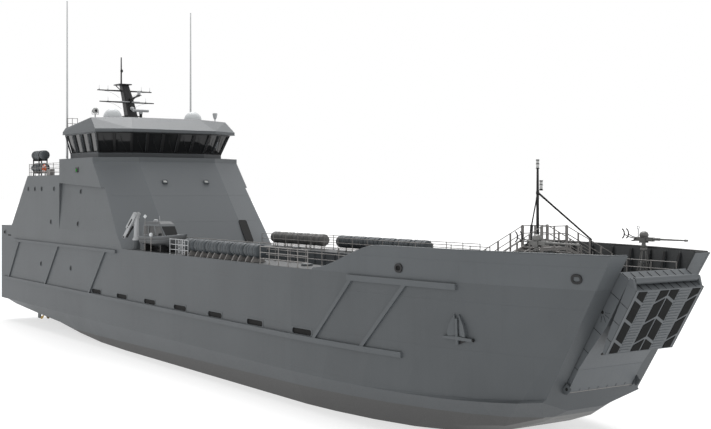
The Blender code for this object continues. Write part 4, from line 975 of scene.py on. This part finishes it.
def all_rails():
    for name, x0, y0, x1, y1, z, bays in RAIL_RUNS:
        rails = Shape()
        guardrail(rails, (x0, y0, z + LIFT), (x1, y1, z + LIFT), bays)
        rails.piece(name + "_tubes", "rail_paint", name)
    white = Shape(Matrix.Translation((0, GATE_Y, DECK_Z + LIFT)))
    guardrail(white, (37.0, 0, 0), (39.8, 0, 0), 3)
    for x in (38.3, 38.6, 39.0, 39.3):
        white.rod((x, 0, 0), (x, 0, 1.03), 0.028, sides=8)
    for x in (38.3, 39.0):
        for k in range(4):
            z = 0.2 + k * 0.22
            white.rod((x, 0, z), (x + 0.3, 0, z), 0.018, sides=6)
    white.piece("boarding_rails", "light_grey")


# Bulwarks and openings in the sides

MIRROR = Matrix.Scale(-1, 4, (0, 1, 0))
SHEER_X = (55.3, 61.1)
SHEER_LOW_Z = DECK_Z + 0.08
BULWARK_FRAMES_X = (63.4, 65.0, 66.6, 68.2, 69.7, 71.0, 72.2)
BULWARK_END_X = 74.30
CHOCKS = ((62.60, 8.27, 0.34, 0.24, "shadow"), (72.69, 8.27, 0.32, 0.22, "hull_paint"))
HOUSE_PORTHOLES = ((7.80, 12.25), (9.58, 12.25), (11.35, 12.25), (14.48, 12.25), (20.15, 12.03),
                   (13.68, 9.45), (19.93, 9.43))
HULL_PORTHOLES = ((11.19, 5.76), (18.42, 5.77))
FREEING_PORTS_X = (23.08, 28.08, 33.06, 37.95, 43.01, 48.13, 53.37)
FREEING_PORT = (1.92, 0.34)
FREEING_PORT_Z = 4.13


def mirrored_to(side):
    """The starboard side as it is drawn, or its mirror image to port."""
    return MIRROR if side > 0 else Matrix.Identity(4)


def sheer_z(x):
    t = min(max((x - SHEER_X[0]) / (SHEER_X[1] - SHEER_X[0]), 0), 1)
    return SHEER_LOW_Z + (BULWARK_Z - SHEER_LOW_Z) * t * t * (3 - 2 * t)


def bulwark_trim():
    for name, side in SIDES:
        node = "bulwark_" + name
        cap, strips, rims = shapes(3)
        places = [55.4 + 0.57 * k for k in range(11)] + [62.5, 64.5, 66.5, 68.5, 70.5, 72.5, 73.6, 74.2]
        points = [on_side(node, x, sheer_z(x) - 0.03, side) @ Vector((0, 0.03, -0.06)) for x in places]
        cap.tube(points + [Vector((BULWARK_END_X, side * 2.24, BULWARK_Z))], 0.055)
        # Frames inside the bulwark, drawn black as painted shade
        for x in BULWARK_FRAMES_X:
            ends = [on_side(node, x + 0.03, z, side).translation - Vector((0, side * inward, 0))
                    for z, inward in ((DECK_Z + 0.10, 0.43), (BULWARK_Z - 0.14, 0.215))]
            strips.bar(*ends, 0.14, 0.02, up=(0, side, 0))
        for x, z, wide, tall, look in CHOCKS:
            hole = Shape(on_side(node, x, z, side))
            rims.place = hole.place
            round_off = tall * 0.48
            outer = oval(wide + 0.22, tall + 0.22, round_off + 0.10)
            rims.band(oval(wide, tall, round_off), outer, -0.02, 0.06)
            hole.slab(oval(wide + 0.02, tall + 0.02, round_off), -0.01, 0.012)
            hole.piece(f"chock_hole_{name}_{look}", look)
        cap.piece("bulwark_cap_" + name, "black_paint" if side > 0 else "hull_paint")
        strips.piece("bulwark_frame_strips_" + name, "black_paint")
        rims.piece("chocks_" + name, "black_paint", bevel=0.015)


def side_openings():
    """Portholes, freeing ports and the stern's slots, on both sides."""
    rims, panes, frames, black = shapes(4)
    wide, tall = FREEING_PORT
    for name, side in SIDES:
        for node, places in (("deckhouse", HOUSE_PORTHOLES), ("hull", HULL_PORTHOLES)):
            for x, z in places:
                rims.place = panes.place = on_side(node, x, z, side)
                rims.band(oval(0.27, 0.34, 0.13), oval(0.37, 0.44, 0.18), -0.01, 0.03)
                # Porthole panes are flat black, painted shade in place of the glass
                panes.slab(oval(0.29, 0.36, 0.14), -0.01, 0.012)
        for x in FREEING_PORTS_X:
            lift = Matrix.Translation((0, tall / 2 - 0.6, 0))
            frames.place = black.place = on_side("hull", x + wide / 2, FREEING_PORT_Z + 0.6, side) @ lift
            outer = oval(wide + 0.10, tall + 0.10, 0.06)
            frames.band(oval(wide - 0.04, tall - 0.02, 0.15), outer, -0.02, 0.018)
            black.slab(oval(wide - 0.02, tall - 0.01, 0.12), -0.40, -0.05)
        black.place = frames.place = on_side("deckhouse", 1.04, 8.20, side)
        frames.band(oval(0.50, 0.26, 0.12), oval(0.68, 0.44, 0.21), -0.02, 0.04)
        black.slab(oval(0.52, 0.28, 0.13), -0.01, 0.012)
        black.place = on_side("deckhouse", 2.40, 7.96, side)
        black.slab(oval(0.80, 0.12, 0.05), -0.01, 0.012)
    rims.piece("porthole_rims", "dull_grey", bevel=0.008)
    panes.piece("porthole_glass", "shadow")
    frames.piece("opening_rims", "hull_paint", bevel=0.006)
    black.piece("opening_shadows", "shadow")


# The fluke's x, y and height off the hull, the stock's x and its y below and above, the shank's corners
FLUKE = ((0.07, -0.05, 0.07), (0.50, -0.05, 0.20), (0.53, 0.12, 0.22), (0.42, 0.52, 0.18), (0.13, 1.00, 0.08),
         (0.08, 0.50, 0.07))
STOCK = ((-0.87, -0.19, -0.09), (0.0, -0.23, -0.05), (0.87, -0.25, -0.11))
SHANK = ((-0.11, -0.46), (0.03, -0.46), (-0.06, 0.80), (0.06, 0.80))


def anchors():
    """Stowed anchors: a stock across the foot, a shank and two leaf-shaped flukes that stand proud."""
    flat = on_side("hull", 66.42, 5.3)
    for name, side in SIDES:
        anchor, dark = shapes(2, mirrored_to(side) @ flat)
        anchor.hull([(x, y, z) for x, *ys in STOCK for y in ys for z in (-0.05, 0.16)])
        anchor.hull([(x, y, z) for x, y in SHANK for z in (-0.05, 0.14)])
        for way in (-1, 1):
            anchor.hull([(way * x, y, z) for x, y, high in FLUKE for z in (-0.05, high)])
        anchor.piece("anchor_detail_" + name, "hull_paint", "anchor_" + name, bevel=0.010)
        dark.slab(((0.03, -0.46), (0.42, -0.30), (0.42, -0.24), (0.03, -0.24)), -0.02, 0.03)
        dark.slab(((0.04, -0.04), (0.09, -0.04), (0.09, 0.5), (0.04, 0.7)), -0.02, 0.06)
        dark.rod((0.86, -0.18, 0.07), (0.93, -0.185, 0.07), 0.08)
        dark.piece("anchor_shadows_" + name, "black_paint")


# The house's front, wings and roof

FRONT_OPENING = ((29.23, 3.24, 9.80), (28.58, 4.31, 9.77), (30.18, 4.14, 8.09), (30.80, 3.09, 8.14))
FRONT_NORMAL = Vector((1.0, 0.6316, 0.8846)).normalized()
RADOME_X = 20.51
RADOME_Y = 3.60
WHIP_X = 15.79
WHIP_Y = 5.70
WHIP = ((0, 0.045), (0.07, 0.045), (0.08, 0.10), (2.87, 0.10), (2.90, 0.090), (8.0, 0.072), (13.26, 0.050))
SEARCHLIGHT_X = 21.2
SEARCHLIGHT_Y = 5.35


def house_front():
    """Floodlights, plate seams and the dark opening on the port chamfer."""
    cases, lamps, lines, dark = shapes(4)
    for y in (-1.78, 1.78):
        cases.place = lamps.place = touch("deckhouse", (45, y, 12.75), -AHEAD)
        cases.band(oval(0.30, 0.22, 0.07), oval(0.46, 0.38, 0.10), -0.02, 0.14)
        cases.box((-0.17, -0.13, -0.02), (0.17, 0.13, 0.05))
        lamps.slab(oval(0.32, 0.24, 0.08), 0.04, 0.11)
    cases.piece("floodlight_cases", "dull_grey", bevel=0.02)
    lamps.piece("floodlight_lamps", "lamp_glass", bevel=0.02)
    for z in (11.71, 9.72):
        lines.tube([touch("deckhouse", (45, y, z), -AHEAD).translation for y in (-5.9, -3.32, 3.32, 5.9)],
                   0.006, 6)
    lines.piece("front_seams", "house_paint")
    corners = [Vector(corner) for corner in FRONT_OPENING]
    outline = [corner + (other - corner).normalized() * 0.16 for i, corner in enumerate(corners)
               for other in (corners[i - 1], corners[(i + 1) % 4])]
    dark.hull([point + FRONT_NORMAL * lift for point in outline for lift in (-0.02, 0.03)])
    dark.piece("front_opening", "shadow", bevel=0.02)


def nav_lights():
    screens = Shape()
    for name, side in SIDES:
        spot = on_side("bridge_parapet", 19.87, 14.0, side) @ Matrix.Translation((0, -0.2, 0))
        screens.place = spot
        screens.box((-0.34, -0.20, -0.02), (0.34, 0.20, 0.03))
        screens.box((-0.34, -0.22, -0.02), (0.34, -0.18, 0.10))
        lamp = Shape(spot)
        lamp.turned((0, -0.18, 0.06), (0, 1, 0), ((0, 0.045), (0.02, 0.055), (0.24, 0.055), (0.27, 0.03)))
        lamp.piece("nav_light_" + name, "green_glass" if side < 0 else "red_glass")
    screens.piece("nav_light_screens", "black_paint", bevel=0.008)


def roof_fittings():
    """Radomes, whip aerials, searchlights and the short rails at the roof's aft corners."""
    rails = Shape()
    for name, side in SIDES:
        dome, whip, stand, head, bright = shapes(5)
        arc = [(0.28 + 0.75 * math.sin(a), 0.75 * math.cos(a)) for a in map(math.radians, range(-12, 90, 9))]
        dome.post((RADOME_X, side * RADOME_Y, roof_z(RADOME_X)),
                  [(-0.10, 0.70), (0.03, 0.70), (0.05, 0.66), (0.08, 0.66)] + arc, 28)
        dome.piece("radome_detail_" + name, "radome_white", "radome_" + name)
        whip.post((WHIP_X, side * WHIP_Y, PARAPET_Z + LIFT), WHIP, 12)
        whip.piece("whip_detail_" + name, "antenna_white", "whip_antenna_" + name)
        x, y = SEARCHLIGHT_X, side * SEARCHLIGHT_Y
        z = roof_z(x)
        stand.post((x, y, z + 0.002), ((0, 0.13), (0.03, 0.13), (0.05, 0.05), (18.2 - z, 0.045)))
        if side < 0:
            yoke = ((-0.27, 18.50), (-0.27, 18.22), (0.27, 18.22), (0.27, 18.50))
            stand.tube([(x, y + dy, h) for dy, h in yoke], 0.028)
            head.ball((x - 0.02, y, 18.50), 0.23, 20)
            bright.ring((x + 0.12, y, 18.50), AHEAD, 0.215, 0.030)
            bright.turned((x + 0.12, y, 18.50), AHEAD, ((0, 0.20), (0.03, 0.19), (0.06, 0.10)))
        else:
            head.post((x, y, 18.18), ((0, 0.07), (0.08, 0.13), (0.42, 0.21), (0.50, 0.21)))
            bright.post((x, y, 18.66), ((0, 0.19), (0.05, 0.16)))
        stand.piece("searchlight_stand_" + name, "light_grey", "searchlight_" + name)
        head.piece("searchlight_head_" + name, "black_paint" if side < 0 else "light_grey")
        bright.piece("searchlight_lens_" + name, "lamp_glass")
        z = roof_z(16.2)
        guardrail(rails, (16.2, side * 5.85, z), (16.2, side * 4.95, z), 2, (0.42, 0.85))
    rails.piece("roof_rails", "rail_paint")


# Rafts

RAFT_Z = DECK_Z + 0.68
AFT_RAFT_Y = -5.78
CANISTER_RIB = ((0.10, 0.92), (0.24, 1.0), (0.76, 1.0), (0.90, 0.92))
# Node, x from and to, y, canisters, ribs on each, look
RAFT_ROWS = (
    ("raft_row_starboard", 38.54, 48.73, -5.66, 6, 4, "raft_case"),
    ("raft_row_port_aft", 30.9, 38.35, 5.55, 7, 1, "raft_pale"),
    ("raft_row_port_forward", 40.2, 50.6, 5.55, 6, 4, "raft_case"),
)
BUOY = (11.34, -6.12, 14.02)
BUOY_HOLDER = (((11.0, -6.20, 13.66), (11.7, -6.06, 13.72)), ((11.2, -6.055, 13.42), (11.48, -6.025, 14.3)),
               ((12.0, -6.15, 13.42), (12.9, -5.75, 13.95)))


def canister(shape, x, length, y, z, radius, ribs):
    """A ribbed raft canister along the ship, with drawn-in ends."""
    end = 0.09
    pitch = (length - end * 2) / ribs
    profile = [(0, 0.5), (0.035, 0.80), (end, 0.92)]
    for k in range(ribs):
        profile += [(end + pitch * (k + t), r) for t, r in CANISTER_RIB]
    profile += [(length - end, 0.92), (length - 0.035, 0.80), (length, 0.5)]
    shape.turned((x, y, z), AHEAD, [(t, r * radius) for t, r in profile])


def raft_row(name, x_from, x_to, y, count, ribs, look):
    pitch = (x_to - x_from) / count
    cases, racks, straps = shapes(3)
    foot = [(dy, DECK_Z + h) for dy, h in ((-0.5, LIFT), (0.5, LIFT), (-0.30, 0.36), (0.30, 0.36))]
    for i in range(count):
        x = x_from + pitch * i
        canister(cases, x + 0.02, pitch - 0.04, y, RAFT_Z, 0.44, ribs)
        for t in (0.28, 0.72):
            strap_x = x + pitch * t
            straps.turned((strap_x - 0.03, y, RAFT_Z), AHEAD, ((0, 0.448), (0.06, 0.448)))
            if y < 0:
                racks.hull([(strap_x + dx, y + dy, h) for dx in (-0.05, 0.05) for dy, h in foot])
        if y > 0:
            middle = x + pitch / 2
            racks.rod((middle, y, DECK_Z + LIFT), (middle, y, DECK_Z + 0.30), 0.04, sides=8)
    if y > 0:
        racks.box((x_from + 0.1, y - 0.10, DECK_Z + 0.24), (x_to - 0.1, y + 0.10, DECK_Z + 0.30))
    cases.piece(name + "_cases", look, name)
    racks.piece(name + "_racks", "rail_paint", bevel=0.008)
    straps.piece(name + "_straps", "dull_grey")


def aft_rafts():
    y = AFT_RAFT_Y
    cases, frames, buoy, bands, holder = shapes(5)
    for z in (14.12, 15.22):
        canister(cases, 7.95, 2.80, y, z, 0.42, 5)
        for x in (8.5, 9.95):
            frames.turned((x + 0.02, y, z), AHEAD, ((0, 0.428), (0.08, 0.428)))
    for x in (8.5, 9.95):
        for near in (-0.40, 0.32):
            frames.box((x, y + near, RAFT_DECK_Z + LIFT), (x + 0.12, y + near + 0.08, 15.10))
        for z in (13.62, 14.72):
            frames.box((x, y - 0.40, z), (x + 0.12, y + 0.40, z + 0.14))
    cases.piece("aft_raft_cases", "raft_case", "aft_liferafts")
    frames.piece("aft_raft_frames", "black_paint", bevel=0.008)
    # A lifebuoy on the rail, in a holder
    buoy.ring(BUOY, (0, 1, 0), 0.30, 0.075, 32, 10)
    for x, z in circle(1, 4, math.pi / 4):
        middle = Vector(BUOY) + Vector((x, 0, z)) * 0.30
        along = Vector((-z, 0, x)) * 0.06
        bands.rod(middle - along, middle + along, 0.081, sides=16)
    for corners in BUOY_HOLDER:
        holder.box(*corners)
    buoy.piece("lifebuoy", "orange")
    bands.piece("lifebuoy_bands", "radome_white")
    holder.piece("lifebuoy_holder", "rail_paint", bevel=0.01)


# Work boat and crane

BOAT_AT = (0, -5.20, 8.00)
# The hull's sections: x, keel, half-beam, half-breadth and height of the chine, top
BOAT = ((31.3, 0.10, 0.84, 0.74, 0.36, 0.76), (33.6, 0.00, 0.87, 0.76, 0.36, 0.80),
        (35.4, 0.08, 0.76, 0.56, 0.45, 0.90), (36.6, 0.40, 0.42, 0.25, 0.66, 1.00),
        (37.4, 0.82, 0.08, 0.05, 0.95, 1.07))
# Corners of the cabin, its roof and its side and front windows
BOAT_CABIN = ((31.75, 0.74, 0.65), (35.5, 0.52, 0.65), (31.8, 0.66, 1.70), (34.4, 0.56, 1.75))
BOAT_ROOF = ((31.8, 0.66, 1.70), (34.4, 0.56, 1.75), (31.9, 0.54, 1.89), (34.1, 0.46, 1.92))
BOAT_PANES = (((31.98, 0.98), (32.60, 0.98), (32.60, 1.58), (31.98, 1.58)),
              ((32.74, 0.94), (33.72, 0.94), (33.50, 1.60), (32.74, 1.60)),
              ((33.90, 0.94), (35.08, 0.94), (34.46, 1.60), (33.68, 1.60)))
BOAT_SCREEN = ((35.20, 0.46, 0.94), (34.56, 0.50, 1.60))


def cabin_side(x, z, out):
    """A place off the starboard side of the boat's cabin, x and height above the keel."""
    (x0, b0, z0), (x1, b1, _), (x2, b2, z2), (x3, b3, _) = BOAT_CABIN
    low = b0 + (b1 - b0) * (x - x0) / (x1 - x0)
    high = b2 + (b3 - b2) * (x - x2) / (x3 - x2)
    return Vector((x, -(low + (high - low) * (z - z0) / (z2 - z0)) - out, z))


def work_boat():
    place = Matrix.Translation(BOAT_AT)
    body, trim, glass, roof, cabin, extras, screw = shapes(7, place)
    loops = []
    for x, keel, beam, chine_b, chine_z, top in BOAT:
        half = [(beam - 0.06, top), (beam, top - 0.02), (beam * 0.985, (top * 2 + chine_z) / 3),
                (chine_b, chine_z)]
        loops.append([(x, b, z) for b, z in half + [(0, keel)] + [(-b, z) for b, z in reversed(half)]])
    body.rings(loops)
    for shape, corners in ((roof, BOAT_ROOF), (cabin, BOAT_CABIN)):
        shape.hull([(x, side * b, z) for side in (-1, 1) for x, b, z in corners])
    for side in (-1, 1):
        trim.tube([(row[0], side * (row[2] - 0.03), row[5] + 0.01) for row in BOAT], 0.055)
        trim.tube([(row[0], side * (row[2] + 0.005), row[5] - 0.22) for row in BOAT[:4]], 0.028)
        body.bar((32.2, side * 0.5, 1.80), (34.0, side * 0.44, 1.88), 0.03)
        glass.place = place @ mirrored_to(side)
        for corners in BOAT_PANES:
            glass.hull([cabin_side(x, z, out) for x, z in corners for out in (-0.02, 0.015)])
    glass.place = place
    glass.hull([(x + d, way * b, z) for d in (-0.02, 0.02) for x, b, z in BOAT_SCREEN for way in (-1, 1)])
    extras.slab([(36.60 + x, y) for x, y in oval(0.50, 0.50, 0.20)], 1.01, 1.08)
    extras.post((32.5, 0, 1.88), ((0, 0.16), (0.10, 0.17), (0.16, 0.10)))
    extras.rod((33.2, 0, 1.85), (33.1, 0, 2.30), 0.02)
    screw.turned((31.16, 0, 0.16), AHEAD, ((0, 0.02), (0.05, 0.045), (0.16, 0.05)))
    for k in range(4):
        a = math.pi / 2 * k + 0.5
        blade = ((-0.03, a - 0.4), (0.0, a - 0.4), (0.0, a + 0.4), (0.03, a + 0.4))
        screw.hull([(31.22 + dx, r * math.cos(b), 0.16 + r * math.sin(b)) for dx, b in blade
                    for r in (0.05, 0.17)])
    body.piece("boat_hull", "boat_grey", "rescue_boat")
    cabin.piece("boat_cabin_walls", "boat_cabin", bevel=0.02)
    roof.piece("boat_roof", "boat_grey", bevel=0.03)
    trim.piece("boat_fender", "boat_cabin")
    glass.piece("boat_windows", "window_glass")
    extras.piece("boat_fittings", "light_grey")
    screw.piece("boat_screw", "bronze")


CRANE_X = 30.25
CRANE_Y = -5.72
CRANE_TURN_Z = 8.47
CRANE_HEAD_Z = 10.35
CRANE_HEADING = math.radians(213)
BOOM_DROP = math.radians(58)
CRANE_PIN = ((0, 0.07), (0.16, 0.07), (0.17, 0.09), (0.20, 0.09))
CHEEK = ((-0.16, -0.10), (-0.10, -0.16), (1.2, -0.16), (1.2, 0.16), (-0.10, 0.16), (-0.16, 0.10))
LAMP_POST = (32.53, -6.05)
SIDE_LAMP = (33.84, -6.18)


def crane():
    turn = Vector((CRANE_X, CRANE_Y, CRANE_TURN_Z))
    pivot = Vector((CRANE_X, CRANE_Y, CRANE_HEAD_Z))
    heading = Vector((math.cos(CRANE_HEADING), math.sin(CRANE_HEADING), 0))
    across = heading.cross(UP)
    along = heading * math.cos(BOOM_DROP) - UP * math.sin(BOOM_DROP)
    foot, post, lamp, posts = shapes(4)
    foot.post((CRANE_X, CRANE_Y, DECK_Z + LIFT),
              ((0, 0.38), (0.04, 0.38), (0.05, 0.27), (CRANE_TURN_Z - DECK_Z - 0.003, 0.27)), 24)
    foot.piece("crane_foot", "dull_grey", "crane_base")
    post.post(turn, ((0, 0.29), (0.06, 0.30), (0.10, 0.30), (0.20, 0.22), (0.45, 0.195), (1.70, 0.165)), 24)
    for x, y in circle(0.255, 10):
        post.rod(turn + Vector((x, y, 0.08)), turn + Vector((x, y, 0.14)), 0.018, sides=6)
    post.bar(pivot - UP * 0.28, pivot + UP * 0.17, 0.30, 0.34, up=heading)
    turned_down = Matrix((along, across.cross(along), across)).transposed().to_4x4()
    arm, dark = shapes(2, Matrix.Translation(pivot) @ turned_down)
    for side in (-1, 1):
        post.turned(pivot + across * side * 0.15, across * side, CRANE_PIN)
        arm.slab(CHEEK, *sorted((side * 0.20, side * 0.29)))
        for middle, wide, tall, radius in ((0.68, 0.62, 0.10, 0.048), (1.10, 0.09, 0.09, 0.044)):
            dark.slab([(x + middle, y) for x, y in oval(wide, tall, radius)],
                      *sorted((side * 0.285, side * 0.296)))
    post.piece("crane_post_detail", "light_grey", "crane_column", body="crane_post", bevel=0.012)
    arm.box((0.75, -0.12, -0.25), (1.18, 0.12, 0.25))
    arm.hull([(x, y, z) for x, w, h in ((0.78, 0.14, 0.15), (1.90, 0.10, 0.12))
              for y in (-w, w) for z in (-h, h)])
    arm.box((1.86, -0.10, -0.14), (2.04, 0.10, 0.14))
    arm.piece("crane_arm_detail", "light_grey", "crane_boom", body="crane_arm", bevel=0.012)
    dark.rod((0.92, -0.20, 0), (1.85, -0.17, 0), 0.075, 0.065)
    dark.post((1.95, 0, -0.16), ((0, 0.07), (0.04, 0.05), (0.28, 0.05), (0.32, 0.07)))
    dark.piece("crane_arm_dark_parts", "black_paint", body="crane_arm")
    posts.rod((*LAMP_POST, DECK_Z + LIFT), (*LAMP_POST, 10.15), 0.025, 0.018)
    posts.rod((*SIDE_LAMP, DECK_Z + LIFT), (*SIDE_LAMP, 8.90), 0.03)
    lamp.post((*LAMP_POST, 10.12), ((0, 0.03), (0.14, 0.15), (0.28, 0.03)), 4)
    lamp.ball((*SIDE_LAMP, 9.0), 0.14, 16)
    posts.piece("side_lamp_posts", "rail_paint")
    lamp.piece("side_lamps", "radome_white")


# Guns

GUN_X = 70.15
GUN_Y = 3.55
GUN_TURN_Z = 9.35
GUN_CHEEK = ((-0.20, 0.22), (0.20, 0.22), (-0.12, 0.52), (0.16, 0.52))
BARREL = ((0, 0.065), (0.50, 0.060), (0.52, 0.050), (1.98, 0.036), (2.00, 0.055), (2.17, 0.050))
GUN_DRUM = ((0, 0.40), (0.05, 0.40), (0.06, 0.31), (0.34, 0.31), (0.36, 0.36), (0.42, 0.36))


def guns():
    """Plain outer forms: a lattice stand on a drum, and the gun that turns on it."""
    for name, side in SIDES:
        drum, legs = shapes(2, mirrored_to(side) @ Matrix.Translation((GUN_X, -GUN_Y, 0)))
        foot = DECK_Z + LIFT
        drum.post((0, 0, foot), GUN_DRUM, 24)
        feet = [Vector((x, y, foot + 0.40)) for x, y in circle(0.32, 6, 0.3)]
        heads = [Vector((x, y, GUN_TURN_Z - 0.14)) for x, y in circle(0.11, 6, 0.3)]
        for k in range(6):
            brace = feet[k - 5].lerp(heads[k - 5], 0.45)
            legs.bar(feet[k], heads[k], 0.045)
            legs.bar(feet[k].lerp(heads[k], 0.45), brace, 0.03)
            legs.bar(feet[k], brace, 0.022)
        legs.post((0, 0, GUN_TURN_Z - 0.17), ((0, 0.13), (0.03, 0.17), (0.12, 0.17), (0.168, 0.14)))
        drum.piece("gun_drum_" + name, "black_paint")
        legs.piece("gun_stand_" + name, "gun_grey", "gun_pedestal_" + name)
        gun, dark = shapes(2, mirrored_to(side) @ Matrix.Translation((GUN_X, -GUN_Y, GUN_TURN_Z)))
        gun.post((0, 0, LIFT), ((0, 0.16), (0.03, 0.175), (0.08, 0.175), (0.10, 0.11), (0.28, 0.09)))
        for y in (-0.13, 0.10):
            gun.plate(y, y + 0.03, GUN_CHEEK)
        gun.box((-0.55, -0.09, 0.30), (0.62, 0.09, 0.50))
        gun.ball((0.02, 0, 0.60), 0.22, 20, (1.15, 0.85, 0.9))
        gun.turned((0.50, 0, 0.42), AHEAD, BARREL)
        for k in range(6):
            gun.turned((0.62 + 0.07 * k, 0, 0.42), AHEAD, ((0, 0.073), (0.035, 0.073)))
        for y in (-0.15, 0.15):
            dark.tube([(-0.40, y, 0.42), (-0.85, y, 0.50), (-1.14, y, 0.62)], 0.025)
            dark.tube([(-1.30 + 0.19 * math.cos(a), y, 0.64 + 0.24 * math.sin(a))
                       for a in map(math.radians, range(-75, 76, 25))], 0.032)
        dark.tube([(-0.35, 0, 0.46), (-0.35, 0, 0.88)], 0.02)
        dark.ring((-0.35, 0, 0.96), AHEAD, 0.08, 0.014)
        dark.tube([(-0.50, -0.10, 0.36), (-0.66, -0.14, 0.30), (-0.66, 0.14, 0.30), (-0.50, 0.10, 0.36)],
                  0.02)
        gun.piece("gun_detail_" + name, "gun_grey", "gun_" + name, body="turning_gun_" + name, bevel=0.010)
        dark.piece("gun_rests_" + name, "black_paint", body="turning_gun_" + name)


# Decks

BOLLARDS = ((68.9, 2.95, DECK_Z), (57.2, 5.15, DECK_Z), (1.5, 5.2, POOP_Z))
BOLLARD = ((0, 0.13), (0.42, 0.13), (0.44, 0.17), (0.50, 0.17), (0.53, 0.12))
WINCH_X = 64.3
WINCH_Y = 3.55
WINCH_CHEEK = ((-0.40, 0.05), (0.40, 0.05), (-0.20, 0.72), (0.20, 0.72))
WINCH_DRUM = ((0, 0.34), (0.04, 0.34), (0.05, 0.20), (0.75, 0.20), (0.76, 0.34), (0.80, 0.34))
HATCHES = ((52.6, 4.9), (60.9, 4.75), (35.8, 4.62))
VENTS = ((9.4, 2.2), (11.8, 2.2), (9.4, -2.2), (11.8, -2.2), (13.9, 0.0))
VENT = ((0, 0.24), (0.03, 0.24), (0.04, 0.16), (0.60, 0.16), (0.62, 0.33), (0.72, 0.33), (0.84, 0.14))
LOCKER = ((12.6, 0), (15.2, 0), (12.8, 0.75), (15.2, 0.75))


def deck_fittings():
    """Bollards, winches, hatches and vents."""
    dark, light = shapes(2)
    for side in (-1, 1):
        for x, y, z in BOLLARDS:
            dark.box((x - 0.55, side * y - 0.20, z), (x + 0.55, side * y + 0.20, z + 0.05))
            for dx in (-0.32, 0.32):
                dark.post((x + dx, side * y, z + 0.04), BOLLARD)
        x, y = WINCH_X, side * WINCH_Y
        light.box((x - 0.50, y - 0.62, DECK_Z), (x + 0.50, y + 0.62, DECK_Z + 0.06))
        for dy in (-0.52, 0.40):
            light.plate(y + dy, y + dy + 0.12, [(x + dx, DECK_Z + h) for dx, h in WINCH_CHEEK])
        dark.turned((x, y - 0.40, DECK_Z + 0.52), (0, 1, 0), WINCH_DRUM)
        for x, y in HATCHES:
            light.post((x, side * y, DECK_Z), ((0, 0.34), (0.10, 0.34), (0.13, 0.30), (0.16, 0.12)))
        light.plate(side * 2.0, side * 3.0, [(x, POOP_Z + h) for x in (1.2, 2.3) for h in (0, 0.30)])
    for x, y in VENTS:
        light.post((x, y, RAFT_DECK_Z), VENT)
    light.plate(3.4, 5.2, [(x, RAFT_DECK_Z + h) for x, h in LOCKER])
    for k in range(6):
        x = 12.95 + k * 0.36
        dark.box((x, 3.37, RAFT_DECK_Z + 0.15), (x + 0.20, 3.41, RAFT_DECK_Z + 0.62))
    dark.piece("deck_fittings_dark", "black_paint", bevel=0.008)
    light.piece("deck_fittings_light", "dull_grey", bevel=0.012)


def vehicle_deck():
    """Lashing points on the vehicle deck and stiffeners along its sides."""
    points, ribs = shapes(2)
    for k in range(18):
        x = 32.2 + 2.0 * k
        for y in (-3.2, -1.6, 0.0, 1.6, 3.2):
            if x < 58 or abs(y) < 2.0:
                points.place = touch("hull", (x, y, 40), -UP, up=AHEAD)
                points.post((0, 0, -0.01), ((0, 0.15), (0.018, 0.15), (0.025, 0.12), (0.012, 0.06)), 12)
    points.piece("lashing_points", "black_paint")
    for side in (-1, 1):
        for k in range(21):
            x = 31.6 + 1.3 * k
            ribs.hull([(x + dx, side * y, z) for dx in (0, 0.06) for y in (3.97, 3.86) for z in (4.12, 7.70)])
        near, far = sorted((side * 3.97, side * 3.90))
        ribs.box((31.4, near, 5.05), (58.2, far, 5.17))
    ribs.piece("deck_side_ribs", "hull_paint")


# Under the stern

PROP_X = 4.90
PROP_Y = 3.84
PROP_Z = 0.66
# A blade's sections: radius, chord, pitch angle and thickness
BLADE = ((0.08, 0.16, 62, 0.030), (0.17, 0.27, 52, 0.026), (0.25, 0.34, 45, 0.022), (0.34, 0.37, 38, 0.019),
         (0.42, 0.36, 34, 0.016), (0.50, 0.29, 30, 0.012), (0.56, 0.14, 27, 0.008))


def propellers():
    for name, side in SIDES:
        screw = Shape(mirrored_to(side) @ Matrix.Translation((PROP_X, -PROP_Y, PROP_Z)))
        screw.turned((-0.22, 0, 0), AHEAD, ((0, 0.03), (0.05, 0.085), (0.20, 0.12), (0.38, 0.13)), 24)
        for k in range(4):
            turn = Matrix.Rotation(math.pi / 2 * k + math.pi / 4, 4, "X")
            loops = []
            for radius, chord, pitch, thick in BLADE:
                twist = Matrix.Rotation(-math.radians(pitch), 4, "Y")
                flat = [Vector((thick / 2 * y, 0, chord / 2 * x)) for x, y in circle(1, 12)]
                loops.append([turn @ (Vector((0, radius, 0)) + twist @ point) for point in flat])
            screw.rings(loops)
        screw.piece("propeller_detail_" + name, "bronze", "propeller_" + name, body="screw_" + name)


dress_frame()
flap_face()
ramp_trim()
wheelhouse_trim()
wheelhouse_inside()
main_mast()
fore_mast()
catwalk()
all_rails()
bulwark_trim()
side_openings()
anchors()
house_front()
nav_lights()
roof_fittings()
for row in RAFT_ROWS:
    raft_row(*row)
aft_rafts()
work_boat()
crane()
guns()
deck_fittings()
vehicle_deck()
propellers()
set_stage()
